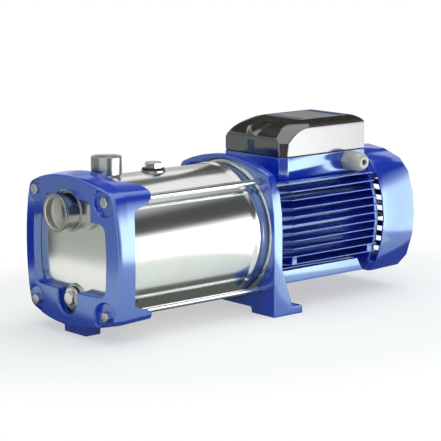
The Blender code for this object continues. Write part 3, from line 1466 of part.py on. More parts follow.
def slotted_ring(bore, slot_width, slot_radius):
    """Bore outline with a slot at each tooth space."""
    points = []
    for number in range(STATOR_SLOT_COUNT):
        middle = 2 * pi * number / STATOR_SLOT_COUNT
        half_in = slot_width / 2 / bore
        half_out = slot_width / 2 / slot_radius
        for angle, radius in ((-half_in, bore), (-half_out, slot_radius),
                              (half_out, slot_radius), (half_in, bore)):
            points.append((radius * cos(middle + angle), radius * sin(middle + angle)))
        between = middle + pi / STATOR_SLOT_COUNT
        points.append((bore * cos(between), bore * sin(between)))
    return points


def build_stator(lamination, copper):
    """Laminated core with open slots, and the winding with its two end turns."""
    outside = circle(HOUSING_BORE_RADIUS - SEAT_GAP, ROUND_STEPS)
    core = prism("stator_core", "X", outside, 0, STATOR_LENGTH)
    slots = slotted_ring(STATOR_BORE_RADIUS, STATOR_SLOT_WIDTH, STATOR_SLOT_RADIUS)
    cut(core, prism("slots", "X", slots, -OVERRUN, STATOR_LENGTH + OVERRUN))
    core.location = (STATOR_START, 0, SHAFT_HEIGHT)
    dress(core, lamination)

    front = -WINDING_OVERHANG
    rear = STATOR_LENGTH + WINDING_OVERHANG
    chamfer = WINDING_OVERHANG / 4
    ends = []
    for start, end, outer in ((front, -WINDING_END_GAP, front), (STATOR_LENGTH + WINDING_END_GAP, rear, rear)):
        low = start + chamfer if outer == start else start
        high = end - chamfer if outer == end else end
        ends.append([
            (start, WINDING_INNER_RADIUS + chamfer if outer == start else WINDING_INNER_RADIUS),
            (start, WINDING_OUTER_RADIUS - chamfer if outer == start else WINDING_OUTER_RADIUS),
            (low, WINDING_OUTER_RADIUS),
            (high, WINDING_OUTER_RADIUS),
            (end, WINDING_OUTER_RADIUS - chamfer if outer == end else WINDING_OUTER_RADIUS),
            (end, WINDING_INNER_RADIUS + chamfer if outer == end else WINDING_INNER_RADIUS),
            (high, WINDING_INNER_RADIUS),
            (low, WINDING_INNER_RADIUS),
        ])
    winding = turned("stator_winding", "X", ends[0], INNER_STEPS)
    add(winding, turned("rear_turns", "X", ends[1], INNER_STEPS))
    half = STATOR_SLOT_WIDTH / 2 - 2 * SEAT_GAP
    for number in range(STATOR_SLOT_COUNT):
        middle = 2 * pi * number / STATOR_SLOT_COUNT
        inner = WINDING_INNER_RADIUS + WINDING_END_GAP
        outer = STATOR_SLOT_RADIUS - 2 * SEAT_GAP
        share = inner / outer
        corners = [(inner, -half * share), (outer, -half), (outer, half), (inner, half * share)]
        outline = []
        for along, across in corners:
            outline.append((along * cos(middle) - across * sin(middle),
                            along * sin(middle) + across * cos(middle)))
        add(winding, prism("bar", "X", outline, -chamfer, STATOR_LENGTH + chamfer))
    winding.location = (STATOR_START, 0, SHAFT_HEIGHT)
    return [core, dress(winding, copper)]


def build_rotor(lamination):
    """Cage rotor: laminated core with a cast ring at each end, pressed on the shaft."""
    outside = STATOR_BORE_RADIUS - RUNNING_GAP
    bore = SHAFT_ROTOR_RADIUS + SEAT_GAP
    start = STATOR_START
    end = STATOR_START + STATOR_LENGTH
    ring_outside = outside - ROTOR_RING_INSET
    profile = [
        (start, bore),
        (start, ROTOR_RING_INNER),
        (start - ROTOR_RING_LENGTH, ROTOR_RING_INNER),
        (start - ROTOR_RING_LENGTH, ring_outside),
        (start, ring_outside),
        (start, outside),
        (end, outside),
        (end, ring_outside),
        (end + ROTOR_RING_LENGTH, ring_outside),
        (end + ROTOR_RING_LENGTH, ROTOR_RING_INNER),
        (end, ROTOR_RING_INNER),
        (end, bore),
    ]
    return shaft_line("rotor", profile, INNER_STEPS, lamination)


def diagonal_block(name, angle, inner, outer, width, start, end):
    """Block that lies along a radius at an angle about the shaft line."""
    outline = []
    for along, across in ((inner, -width / 2), (outer, -width / 2), (outer, width / 2), (inner, width / 2)):
        outline.append((along * cos(angle) - across * sin(angle),
                        SHAFT_HEIGHT + along * sin(angle) + across * cos(angle)))
    return prism(name, "X", outline, start, end)


def build_end_shield(paint):
    """Rear shield: spigot in the housing, bearing hub, and four lugs that carry the fan cover."""
    plate = HOUSING_END + SEAT_GAP
    hub_end = REAR_BEARING_X + REAR_BEARING_WIDTH + SEAT_GAP + SHIELD_HUB_WALL
    spigot_start = plate - SHIELD_SPIGOT
    spigot_outside = HOUSING_BORE_RADIUS - SEAT_GAP
    profile = [
        (spigot_start, 0),
        (spigot_start, spigot_outside),
        (plate + SHIELD_THICKNESS / 4, spigot_outside),
        (plate + SHIELD_THICKNESS / 4, SHIELD_HUB_RADIUS),
        (hub_end, SHIELD_HUB_RADIUS),
        (hub_end, 0),
    ]
    shield = prism("rear_end_shield", "X", cover_outline(SHIELD_INSET), plate, plate + SHIELD_THICKNESS)
    add(shield, turned("hub", "X", profile, ROUND_STEPS, (0, SHAFT_HEIGHT)))
    draft_run = COVER_END - COVER_EDGE_ROUND - COVER_LIP_X
    drawn_in = COVER_WALL + COVER_DRAFT * (SHIELD_LUG_END - COVER_LIP_X) / draft_run
    facet_distance = (COVER_FACET_NEAR - drawn_in / 2 + COVER_FACET_FAR - drawn_in) / sqrt(2)
    lug_radius = facet_distance - SEAT_GAP
    for quarter in range(4):
        angle = pi / 4 + quarter * pi / 2
        add(shield, diagonal_block("lug", angle, SHIELD_LUG_INNER, lug_radius, SHIELD_LUG_WIDTH,
                                   plate + SHIELD_THICKNESS / 4, SHIELD_LUG_END))
    under_box = SHAFT_HEIGHT + FIN_LEVELS_UP * FIN_PITCH + FIN_THICKNESS / 2
    reach = COVER_HALF_WIDTH + OVERRUN
    cut(shield, bar("under_box", (plate - OVERRUN, -reach, under_box),
                    (BOX_REAR + SEAT_GAP, reach, 2 * SHAFT_HEIGHT + OVERRUN)))
    bearing = REAR_BEARING_RADIUS + SEAT_GAP
    bearing_end = REAR_BEARING_X + REAR_BEARING_WIDTH + SEAT_GAP
    bore = [
        (spigot_start - OVERRUN, 0),
        (spigot_start - OVERRUN, bearing),
        (bearing_end, bearing),
        (bearing_end, SHAFT_REAR_RADIUS + RUNNING_GAP),
        (hub_end + OVERRUN, SHAFT_REAR_RADIUS + RUNNING_GAP),
        (hub_end + OVERRUN, 0),
    ]
    cut(shield, turned("bore", "X", bore, INNER_STEPS, (0, SHAFT_HEIGHT)))
    for side, level in corner_signs():
        hole = circle(STUD_RADIUS + SEAT_GAP, 8, (side * STUD_Y, SHAFT_HEIGHT + level * STUD_RISE))
        cut(shield, prism("hole", "X", hole, plate - OVERRUN, plate + SHIELD_THICKNESS + OVERRUN))
    return dress(shield, paint)


def build_motor_studs(steel):
    """Long screws between the fins, from the rear shield into the motor bracket."""
    seat = HOUSING_END + SEAT_GAP + SHIELD_THICKNESS + SEAT_GAP
    start = CENTRE_DISC_END - STUD_THREAD_DEPTH + SEAT_GAP - seat
    stud = prism("motor_stud_1", "X", hexagon(STUD_HEAD_FLATS), 0, STUD_HEAD_HEIGHT)
    add(stud, prism("shank", "X", circle(STUD_RADIUS, 8), start, STUD_HEAD_HEIGHT / 2))
    dress(stud, steel)
    studs = [stud]
    for number in range(2, 5):
        studs.append(copy_piece(stud, "motor_stud_%d" % number, (0, 0, 0)))
    for piece, (side, level) in zip(studs, corner_signs()):
        piece.location = (seat, side * STUD_Y, SHAFT_HEIGHT + level * STUD_RISE)
    return studs


# Fan and its cover

def build_fan(plastic):
    """Radial fan that blows either way: hub, disc and straight blades."""
    bore = SHAFT_FAN_RADIUS + SEAT_GAP
    profile = [
        (0, bore),
        (0, FAN_HUB_RADIUS),
        (FAN_DISC_THICKNESS, FAN_HUB_RADIUS),
        (FAN_DISC_THICKNESS, FAN_DISC_RADIUS),
        (2 * FAN_DISC_THICKNESS, FAN_DISC_RADIUS),
        (2 * FAN_DISC_THICKNESS, FAN_HUB_RADIUS),
        (FAN_HUB_LENGTH, FAN_HUB_RADIUS),
        (FAN_HUB_LENGTH, bore),
    ]
    fan = turned("fan", "X", profile, INNER_STEPS)
    root = (FAN_HUB_RADIUS + bore) / 2
    half = FAN_BLADE_THICKNESS / 2
    for number in range(FAN_BLADES):
        angle = 2 * pi * (number + 0.5) / FAN_BLADES
        outline = []
        for along, across in ((root, -half), (FAN_BLADE_RADIUS, -half), (FAN_BLADE_RADIUS, half), (root, half)):
            outline.append((along * cos(angle) - across * sin(angle),
                            along * sin(angle) + across * cos(angle)))
        add(fan, prism("blade", "X", outline, FAN_DISC_THICKNESS * 1.5, FAN_BLADE_LENGTH))
    fan.location = (FAN_START, 0, SHAFT_HEIGHT)
    return dress(fan, plastic)


def cover_outline(shrink):
    """Fan cover across the shaft: bowed sides and top, flat bottom, bevelled corners."""
    near = COVER_FACET_NEAR - shrink / 2
    far = COVER_FACET_FAR - shrink
    sag = COVER_HALF_WIDTH - COVER_FACET_FAR
    side = [(near, -far, 0), (far, -near, 0)]
    side += bow((far, -near), (far, near), sag, 4)
    side += [(far, near, 0), (near, far, 0)]
    top = bow((near, far), (-near, far), sag, 4)
    other = [(-u, v, radius) for u, v, radius in reversed(side)]
    return shifted(rounded(side + top + other), 0, SHAFT_HEIGHT)


def build_fan_cover(paint):
    """Drawn cover over the fan, with a slotted air inlet at the rear."""
    round_share = 0.3
    cover = loft("fan_cover", "X", [
        (COVER_LIP_X, cover_outline(0)),
        (COVER_END - COVER_EDGE_ROUND, cover_outline(COVER_DRAFT)),
        (COVER_END - COVER_EDGE_ROUND * round_share, cover_outline(COVER_DRAFT + COVER_EDGE_ROUND * round_share)),
        (COVER_END, cover_outline(COVER_DRAFT + COVER_EDGE_ROUND)),
    ])
    hollow = loft("hollow", "X", [
        (COVER_LIP_X - OVERRUN, cover_outline(COVER_WALL)),
        (COVER_END - COVER_EDGE_ROUND, cover_outline(COVER_WALL + COVER_DRAFT)),
        (COVER_END - COVER_WALL, cover_outline(COVER_WALL + COVER_DRAFT + COVER_EDGE_ROUND - COVER_WALL)),
    ])
    cut(cover, hollow)
    cut(cover, grille_slots())
    return dress(cover, paint)


def grille_slots():
    """One tool with every slot of the air inlet: rows of slots inside a circle, ribs between them."""
    shape = bmesh.new()
    rows = int(GRILLE_RADIUS / GRILLE_PITCH)
    for row in range(-rows, rows + 1):
        level = row * GRILLE_PITCH
        far = abs(level) + GRILLE_SLOT_HEIGHT / 2
        half_row = sqrt(max(GRILLE_RADIUS ** 2 - far ** 2, 0))
        if half_row < 2 * GRILLE_SLOT_HEIGHT:
            continue
        width = (2 * half_row - (GRILLE_COLUMNS - 1) * GRILLE_RIB) / GRILLE_COLUMNS
        for column in range(GRILLE_COLUMNS):
            y = -half_row + width / 2 + column * (width + GRILLE_RIB)
            size = Matrix.Diagonal((2 * OVERRUN, width, GRILLE_SLOT_HEIGHT, 1.0))
            middle = Matrix.Translation((COVER_END, y, SHAFT_HEIGHT + level))
            bmesh.ops.create_cube(shape, size=1.0, matrix=middle @ size)
    return finish_mesh("slots", shape)


# Terminal box

def box_plan(inset, front, half_width, chamfer_x, chamfer_y, rear):
    """Plan of the terminal box with its bevelled corners, drawn in by an inset."""
    front += inset
    rear -= inset
    half_width -= inset
    side = [
        (front, half_width - chamfer_y),
        (front + chamfer_x, half_width),
        (rear - BOX_REAR_CHAMFER, half_width),
        (rear, half_width - BOX_REAR_CHAMFER),
    ]
    other = [(x, -y) for x, y in reversed(side)]
    return side + other


def plain_plan(inset):
    return box_plan(inset, BOX_FRONT, BOX_HALF_WIDTH, BOX_CHAMFER_X, BOX_CHAMFER_Y, BOX_REAR)


# Hood sections: height, front setback, half width, front corner along and across, rear setback.
# Heights run from the end of the straight walls to the top; the rest are shares of the box sizes.
HOOD_SHARES = (
    (0.00, 0.000, 1.000, 0.070, 0.060, 0.000),
    (0.20, 0.001, 1.000, 0.104, 0.180, 0.000),
    (0.46, 0.036, 1.000, 0.125, 0.235, 0.000),
    (0.65, 0.084, 1.000, 0.150, 0.290, 0.002),
    (0.76, 0.128, 0.995, 0.190, 0.350, 0.004),
    (0.90, 0.215, 0.860, 0.130, 0.260, 0.012),
    (1.00, 0.330, 0.690, 0.060, 0.100, 0.030),
)


def hood_sections(inset, top_inset):
    length = BOX_REAR - BOX_FRONT
    height = BOX_TOP_Z - HOOD_STRAIGHT_Z
    sections = []
    for up, setback, width, corner_x, corner_y, rear in HOOD_SHARES:
        outline = box_plan(
            inset,
            BOX_FRONT + setback * length,
            width * BOX_HALF_WIDTH,
            corner_x * length,
            corner_y * BOX_HALF_WIDTH,
            BOX_REAR - rear * length,
        )
        sections.append((HOOD_STRAIGHT_Z + up * height - top_inset, outline))
    return sections


def build_terminal_box(paint, hood_plastic, rubber, capacitor_plastic, block_plastic):
    """Box base on the housing's seat, gasket, hooded cover, capacitor and terminal block."""
    seat = SHAFT_HEIGHT + FIN_LEVELS_UP * FIN_PITCH + FIN_THICKNESS / 2 + SEAT_GAP
    rim = BOX_SEAM_Z - SEAT_GAP - GASKET_THICKNESS / 2
    base = prism("terminal_box_base", "Z", plain_plan(0), seat, rim)
    floor = seat + BOX_WALL
    cut(base, prism("hollow", "Z", plain_plan(BOX_WALL), floor, rim + OVERRUN))
    entry = circle(GLAND_THREAD_RADIUS + SEAT_GAP, INNER_STEPS, (GLAND_X, GLAND_Z))
    cut(base, prism("entry", "Y", entry, -BOX_HALF_WIDTH - OVERRUN, -BOX_HALF_WIDTH + OVERRUN))
    dress(base, paint)

    gasket_low = rim + SEAT_GAP
    gasket = prism("terminal_box_gasket", "Z", plain_plan(GASKET_INSET), gasket_low,
                   gasket_low + GASKET_THICKNESS)
    inside = plain_plan(GASKET_INSET + GASKET_WIDTH)
    cut(gasket, prism("inside", "Z", inside, gasket_low - OVERRUN, gasket_low + OVERRUN))
    dress(gasket, rubber)

    cover_low = gasket_low + GASKET_THICKNESS + SEAT_GAP
    outer = hood_sections(0, 0)
    inner = hood_sections(BOX_WALL, BOX_WALL)
    cover = loft("terminal_box_cover", "Z", [(cover_low, plain_plan(0))] + outer)
    cut(cover, loft("hollow", "Z", [(cover_low - OVERRUN, plain_plan(BOX_WALL))] + inner))
    dress(cover, hood_plastic)

    middle = (BOX_FRONT + BOX_REAR) / 2
    can_z = floor + SEAT_GAP + CAPACITOR_RADIUS
    can_start = middle - CAPACITOR_LENGTH / 2
    chamfer = CAPACITOR_RADIUS / 8
    can = [
        (0, 0),
        (0, CAPACITOR_RADIUS - chamfer),
        (chamfer, CAPACITOR_RADIUS),
        (CAPACITOR_LENGTH - chamfer, CAPACITOR_RADIUS),
        (CAPACITOR_LENGTH, CAPACITOR_RADIUS - chamfer),
        (CAPACITOR_LENGTH, 0),
    ]
    capacitor = turned("capacitor", "X", can, INNER_STEPS)
    capacitor.location = (can_start, CAPACITOR_Y, can_z)
    dress(capacitor, capacitor_plastic)

    block_low = floor + SEAT_GAP
    block_start = middle - TERMINAL_LENGTH / 2
    half = TERMINAL_WIDTH / 2
    block = bar("terminal_block", (block_start, TERMINAL_Y - half, block_low),
                (block_start + TERMINAL_LENGTH, TERMINAL_Y + half, block_low + TERMINAL_HEIGHT))
    spacing = TERMINAL_LENGTH / TERMINAL_WAYS
    top = block_low + TERMINAL_HEIGHT
    for way in range(TERMINAL_WAYS):
        x = block_start + spacing * (way + 0.5)
        cut(block, bar("way", (x - TERMINAL_SLOT / 2, TERMINAL_Y - half - OVERRUN, top - TERMINAL_SLOT_DEPTH),
                       (x + TERMINAL_SLOT / 2, TERMINAL_Y + half + OVERRUN, top + OVERRUN)))
    dress(block, block_plastic)
    return [base, gasket, cover, capacitor, block]


def build_gland(plastic, rubber):
    """Cable gland on the near side: threaded body with a hexagon, cap nut and rubber sleeve."""
    wall = -BOX_HALF_WIDTH
    centre = (GLAND_X, GLAND_Z)
    seat = wall - SEAT_GAP
    hex_end = seat - GLAND_HEX_LENGTH
    neck_end = hex_end - GLAND_NECK_LENGTH
    inside_end = wall + BOX_WALL + GLAND_THREAD_INSIDE
    body = prism("gland_body", "Y", hexagon(GLAND_FLATS, pi / 6 + pi / 3, centre), hex_end, seat)
    neck = circle(GLAND_NECK_RADIUS, INNER_STEPS, centre)
    thread = circle(GLAND_THREAD_RADIUS, INNER_STEPS, centre)
    bore = circle(GLAND_BORE_RADIUS, INNER_STEPS, centre)
    add(body, prism("neck", "Y", neck, neck_end, hex_end + GLAND_HEX_LENGTH / 2))
    add(body, prism("thread", "Y", thread, seat - GLAND_HEX_LENGTH / 2, inside_end))
    cut(body, prism("bore", "Y", bore, neck_end - OVERRUN, inside_end + OVERRUN))
    dress(body, plastic)

    nut_start = hex_end - SEAT_GAP
    rib_end = nut_start - GLAND_NUT_RIB_LENGTH
    tip = nut_start - GLAND_NUT_LENGTH
    nut_bore = GLAND_NECK_RADIUS + SEAT_GAP
    profile = [(nut_start, nut_bore), (nut_start, GLAND_NUT_RADIUS), (rib_end, GLAND_NUT_RADIUS)]
    tip_radius = GLAND_CABLE_RADIUS + GLAND_NUT_WALL
    for k in range(1, 6):
        angle = pi / 2 * k / 5
        x = rib_end + (tip - rib_end) * sin(angle)
        profile.append((x, tip_radius + (GLAND_NUT_RADIUS - GLAND_NUT_WALL / 4 - tip_radius) * cos(angle)))
    profile += [
        (tip, GLAND_CABLE_RADIUS),
        (tip + GLAND_NUT_WALL, GLAND_CABLE_RADIUS),
        (neck_end - SEAT_GAP, nut_bore),
    ]
    nut = dress(turned("gland_nut", "Y", profile, INNER_STEPS, centre), plastic)

    sleeve_start = neck_end + SEAT_GAP
    sleeve = [
        (sleeve_start, GLAND_CABLE_RADIUS),
        (sleeve_start, GLAND_BORE_RADIUS - SEAT_GAP),
        (sleeve_start + GLAND_SEAL_LENGTH, GLAND_BORE_RADIUS - SEAT_GAP),
        (sleeve_start + GLAND_SEAL_LENGTH, GLAND_CABLE_RADIUS),
    ]
    seal = dress(turned("gland_seal", "Y", sleeve, INNER_STEPS, centre), rubber)
    for piece in (body, nut, seal):
        centre_on(piece, (GLAND_X, wall, GLAND_Z))
    return [body, nut, seal]


def build_pump():
    clear_scene()
    paint = make_material("blue_enamel", (0.013, 0.045, 0.33), 0.32, 0.0)
    stainless = make_material("stainless_steel", (0.62, 0.62, 0.58), 0.24, 1.0)
    zinc = make_material("zinc_plated_steel", (0.75, 0.76, 0.76), 0.35, 1.0)
    brass = make_material("cast_brass", (0.66, 0.47, 0.20), 0.38, 1.0)
    bearing_steel = make_material("bearing_steel", (0.55, 0.55, 0.56), 0.18, 1.0)
    lamination = make_material("laminated_steel", (0.28, 0.28, 0.29), 0.45, 1.0)
    copper = make_material("enamelled_copper", (0.55, 0.20, 0.08), 0.40, 0.8)
    stage_plastic = make_material("stage_polymer", (0.80, 0.78, 0.70), 0.50, 0.0)
    black_plastic = make_material("black_plastic", (0.03, 0.03, 0.03), 0.50, 0.0)
    hood_plastic = make_material("dark_hood_plastic", (0.06, 0.055, 0.045), 0.18, 0.0)
    grey_plastic = make_material("light_grey_plastic", (0.55, 0.55, 0.52), 0.42, 0.0)
    can_plastic = make_material("capacitor_can", (0.75, 0.75, 0.73), 0.45, 0.0)
    rubber = make_material("black_rubber", (0.02, 0.02, 0.02), 0.75, 0.0)
    carbon = make_material("carbon_graphite", (0.05, 0.05, 0.055), 0.55, 0.0)
    ceramic = make_material("alumina_ceramic", (0.85, 0.84, 0.78), 0.25, 0.0)

    build_front_bracket(paint)
    build_tie_bolts(zinc)
    build_pump_body(stainless)
    build_suction_socket(stainless)
    build_delivery_socket(stainless)
    filler = build_filler(stainless, rubber)
    drain = build_drain(stainless, rubber)
    build_inlet(stainless, stage_plastic)
    _, impellers = build_stages(brass, stage_plastic, stainless)
    shaft_pieces = build_shaft(stainless)
    build_back_plate(stainless, rubber)
    _, seal_turning = build_seal(carbon, ceramic, stainless)
    build_motor_bracket(paint)
    _, front_inner, front_cage = build_bearing(
        "front_bearing", FRONT_BEARING_X, FRONT_BEARING_RADIUS, SHAFT_BEARING_RADIUS,
        FRONT_BEARING_WIDTH, bearing_steel)
    _, rear_inner, rear_cage = build_bearing(
        "rear_bearing", REAR_BEARING_X, REAR_BEARING_RADIUS, SHAFT_REAR_RADIUS,
        REAR_BEARING_WIDTH, bearing_steel)
    build_motor_housing(paint)
    build_stator(lamination, copper)
    rotor = build_rotor(lamination)
    build_end_shield(paint)
    build_motor_studs(zinc)
    fan = build_fan(black_plastic)
    build_fan_cover(paint)
    build_terminal_box(paint, hood_plastic, rubber, can_plastic, black_plastic)
    build_gland(grey_plastic, rubber)

    shaft_axis = make_axis("shaft_axis", (0, 0, SHAFT_HEIGHT))
    carry(shaft_axis, [*impellers, *shaft_pieces, *seal_turning, front_inner, rear_inner, rotor, fan])
    cage_axis = make_axis("cage_axis", (0, 0, SHAFT_HEIGHT))
    carry(cage_axis, [front_cage, rear_cage])
    filler_axis = make_axis("filler_axis", (FILLER_X, 0, SHAFT_HEIGHT + BODY_RADIUS))
    carry(filler_axis, filler[1:])
    drain_axis = make_axis("drain_axis", (BODY_APEX, 0, SHAFT_HEIGHT + DRAIN_RISE))
    carry(drain_axis, drain[1:])


build_pump()
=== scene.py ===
import json

import bmesh
import bpy
import numpy as np
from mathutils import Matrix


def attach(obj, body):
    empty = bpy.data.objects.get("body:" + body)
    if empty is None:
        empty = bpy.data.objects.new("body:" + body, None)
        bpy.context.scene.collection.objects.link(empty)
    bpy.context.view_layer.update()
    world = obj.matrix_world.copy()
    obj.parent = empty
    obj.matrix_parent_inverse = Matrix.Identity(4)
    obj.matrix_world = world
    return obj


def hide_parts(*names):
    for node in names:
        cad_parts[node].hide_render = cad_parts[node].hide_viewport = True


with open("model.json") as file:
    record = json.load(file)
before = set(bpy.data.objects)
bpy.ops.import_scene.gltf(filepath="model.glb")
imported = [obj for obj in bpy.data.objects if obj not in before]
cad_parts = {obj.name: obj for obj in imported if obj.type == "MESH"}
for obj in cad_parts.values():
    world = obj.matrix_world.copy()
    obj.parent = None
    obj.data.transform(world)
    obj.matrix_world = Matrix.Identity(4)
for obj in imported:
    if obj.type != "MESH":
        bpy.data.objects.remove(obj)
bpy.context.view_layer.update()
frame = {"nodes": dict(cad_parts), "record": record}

# Pump body
# One drawn shell of stainless sheet: a shallow domed front end, a straight barrel, a rolled bead
# and a turned-out rim that is clamped against the motor bracket. Bright, with faint draw lines.

MM = 0.001
SHAFT_Z = 107.9 * MM
BARREL_RADIUS = 91.5 * MM
BARREL_WALL = 1.6 * MM
DOME_APEX_X = -12.5 * MM
DOME_RISE = 4.0 * MM
KNUCKLE_RADIUS = 13.0 * MM
BEAD_START_X = 214.0 * MM
BEAD_LENGTH = 18.0 * MM
BEAD_HEIGHT = 1.6 * MM
BARREL_END_X = 247.0 * MM
RIM_RADIUS = 94.5 * MM
RIM_LENGTH = 2.6 * MM
SUCTION_RISE = 53.0 * MM
SUCTION_BORE = 20.3 * MM
DELIVERY_X = 41.4 * MM
DELIVERY_BORE = 15.3 * MM
FILLER_X = 119.0 * MM
DRAIN_RISE = -60.0 * MM
BOSS_HOLE = 16.3 * MM
CUT_DEPTH = 12.0 * MM
SEGMENTS = 192


def hex_colour(code):
    """sRGB code to linear light: c / 12.92 at the dark end, else ((c + 0.055) / 1.055) to the 2.4."""
    part = np.array([int(code[i:i + 2], 16) for i in (1, 3, 5)]) / 255
    linear = np.where(part <= 0.04045, part / 12.92, ((part + 0.055) / 1.055) ** 2.4)
    return (*linear.tolist(), 1.0)


def add_node(tree, kind, inputs=None, **settings):
    """Adds one node; inputs holds a value for each socket, or the socket that feeds it."""
    node = tree.nodes.new(kind)
    for key, value in settings.items():
        setattr(node, key, value)
    for key, value in (inputs or {}).items():
        if isinstance(value, bpy.types.NodeSocket):
            tree.links.new(value, node.inputs[key])
        else:
            node.inputs[key].default_value = value
    return node


def new_finish(name, light, dark, patch, grain, relief, stretch=(1, 1, 1), scatter=0.06, **sockets):
    """Finish whose colour drifts between two tones over a patch size, with a fine relief.

    Colour is a mix of both tones by noise at the patch size, roughness follows the same noise,
    and a second noise at the grain size, drawn out by the stretch, raises the surface.
    """
    material = bpy.data.materials.new(name)
    material.use_nodes = True
    tree = material.node_tree
    shader = tree.nodes["Principled BSDF"]
    for key, value in sockets.items():
        shader.inputs[key.replace("_", " ")].default_value = value
    place = add_node(tree, "ShaderNodeTexCoord").outputs["Object"]
    drift = add_node(tree, "ShaderNodeTexNoise", {"Vector": place, "Scale": 1 / patch, "Detail": 3.0})
    tone = add_node(tree, "ShaderNodeMix", {"Factor": drift.outputs["Fac"]}, data_type="RGBA")
    tone.inputs[6].default_value = hex_colour(light)
    tone.inputs[7].default_value = hex_colour(dark)
    tree.links.new(tone.outputs[2], shader.inputs["Base Color"])
    base = shader.inputs["Roughness"].default_value
    spread = add_node(tree, "ShaderNodeMapRange", {
        "Value": drift.outputs["Fac"], "To Min": max(base - scatter, 0.02), "To Max": base + scatter})
    tree.links.new(spread.outputs["Result"], shader.inputs["Roughness"])
    drawn = add_node(tree, "ShaderNodeMapping", {"Vector": place, "Scale": stretch})
    fine = add_node(tree, "ShaderNodeTexNoise", {
        "Vector": drawn.outputs["Vector"], "Scale": 1 / grain, "Detail": 2.0})
    bump = add_node(tree, "ShaderNodeBump", {"Height": fine.outputs["Fac"], "Distance": relief})
    tree.links.new(bump.outputs["Normal"], shader.inputs["Normal"])
    return material


def surface(name, grid, loop_rows=False, loop_columns=True):
    """Quads over a grid of points, rows by columns; a loop joins the last row or column to the first.

    Rows that shrink to a point are merged into a pole, and the faces are turned outwards.
    """
    rows, columns, _ = grid.shape
    index = np.arange(rows * columns).reshape(rows, columns)
    below = np.roll(index, -1, axis=0)
    if not loop_rows:
        index, below = index[:-1], below[:-1]
    beside, across = np.roll(index, -1, axis=1), np.roll(below, -1, axis=1)
    quads = np.stack([index, beside, across, below], axis=-1)
    if not loop_columns:
        quads = quads[:, :-1]
    mesh = bpy.data.meshes.new(name)
    mesh.from_pydata(grid.reshape(-1, 3), [], quads.reshape(-1, 4).tolist())
    shape = bmesh.new()
    shape.from_mesh(mesh)
    bmesh.ops.remove_doubles(shape, verts=shape.verts, dist=0.002 * MM)
    bmesh.ops.recalc_face_normals(shape, faces=shape.faces)
    shape.to_mesh(mesh)
    shape.free()
    piece = bpy.data.objects.new(name, mesh)
    bpy.context.scene.collection.objects.link(piece)
    return piece


def soft_corners(corners, closed=False, steps=6):
    """Profile through corners (along, radius, reach): each corner gives way to the parabola that
    leaves one side at that reach before it and meets the next side at the same reach after it."""
    points = np.array(corners, float)
    count = len(points)
    share = np.linspace(0, 1, steps)[:, None]
    parts = []
    for i in range(count):
        here, reach = points[i, :2], points[i, 2]
        if reach == 0 or (not closed and i in (0, count - 1)):
            parts.append(here[None])
            continue
        back, ahead = points[i - 1, :2] - here, points[(i + 1) % count, :2] - here
        first = here + back * min(reach / np.linalg.norm(back), 0.5)
        last = here + ahead * min(reach / np.linalg.norm(ahead), 0.5)
        parts.append((1 - share) ** 2 * first + 2 * share * (1 - share) * here + share ** 2 * last)
    return np.concatenate(parts)


def spun(profile, axis, centre, shape=None, segments=SEGMENTS):
    """A profile of (along, radius) points carried round an axis; shape may bend both by the angle.

    Across is radius times the cosine of the angle, and up is radius times its sine.
    """
    angle = np.linspace(0, 2 * np.pi, segments, endpoint=False)
    along, radius = profile[:, :1] + 0 * angle, profile[:, 1:2] + 0 * angle
    if shape:
        along, radius = shape(along, radius, angle)
    across = centre[0] + radius * np.cos(angle)
    up = centre[1] + radius * np.sin(angle)
    order = {"X": (along, across, up), "Y": (across, along, up), "Z": (across, up, along)}[axis]
    return np.stack(order, axis=-1)


def smooth(piece, sharp=34):
    piece.data.shade_smooth()
    piece.data.set_sharp_from_angle(angle=np.radians(sharp))


def pierce(piece, tool):
    """Takes the tool's shape out of a piece and keeps the result as its mesh."""
    step = piece.modifiers.new("hole", "BOOLEAN")
    step.object = tool
    step.solver = "EXACT"
    graph = bpy.context.evaluated_depsgraph_get()
    mesh = bpy.data.meshes.new_from_object(piece.evaluated_get(graph))
    piece.modifiers.clear()
    piece.data = mesh
    bpy.data.objects.remove(tool)


def dome_x(reach, grow=0.0):
    """Outside of the front end at a distance from the shaft line: a parabola, then the knuckle's arc."""
    flat = BARREL_RADIUS - KNUCKLE_RADIUS
    shallow = DOME_APEX_X + DOME_RISE * np.minimum(reach / flat, 1) ** 2
    past = np.clip(reach - flat, 0, KNUCKLE_RADIUS)
    return shallow + KNUCKLE_RADIUS - np.sqrt(KNUCKLE_RADIUS ** 2 - past ** 2) - grow


# Stainless sheet, deep-drawn and polished: bright, with faint rings round the barrel. The real marks are
# too fine to show, so they are drawn half a millimetre apart.
stainless = new_finish(
    "drawn_stainless_sheet", "#eeefeb", "#e2e3de", 60 * MM, 0.5 * MM, 0.0016 * MM, (1, 0.02, 0.02), 0.03,
    Metallic=1.0, Roughness=0.17)

flat_radius = BARREL_RADIUS - KNUCKLE_RADIUS
reach = np.linspace(0, flat_radius, 40)
front_end = np.stack([dome_x(reach), reach], axis=-1)
turn = np.linspace(0, np.pi / 2, 17)[1:]
knuckle_start = DOME_APEX_X + DOME_RISE + KNUCKLE_RADIUS
knuckle = np.stack([knuckle_start - KNUCKLE_RADIUS * np.cos(turn),
                    flat_radius + KNUCKLE_RADIUS * np.sin(turn)], axis=-1)
share = np.linspace(0, 1, 33)
bead = np.stack([BEAD_START_X + BEAD_LENGTH * share,
                 BARREL_RADIUS + BEAD_HEIGHT * np.sin(np.pi * share) ** 2], axis=-1)
rim = soft_corners([
    (BARREL_END_X - 2 * RIM_LENGTH, BARREL_RADIUS, 0),
    (BARREL_END_X - RIM_LENGTH, BARREL_RADIUS, 0.6 * MM),
    (BARREL_END_X - RIM_LENGTH, RIM_RADIUS, 0.5 * MM),
    (BARREL_END_X, RIM_RADIUS, 0.5 * MM),
    (BARREL_END_X, BARREL_RADIUS - BARREL_WALL, 0),
])
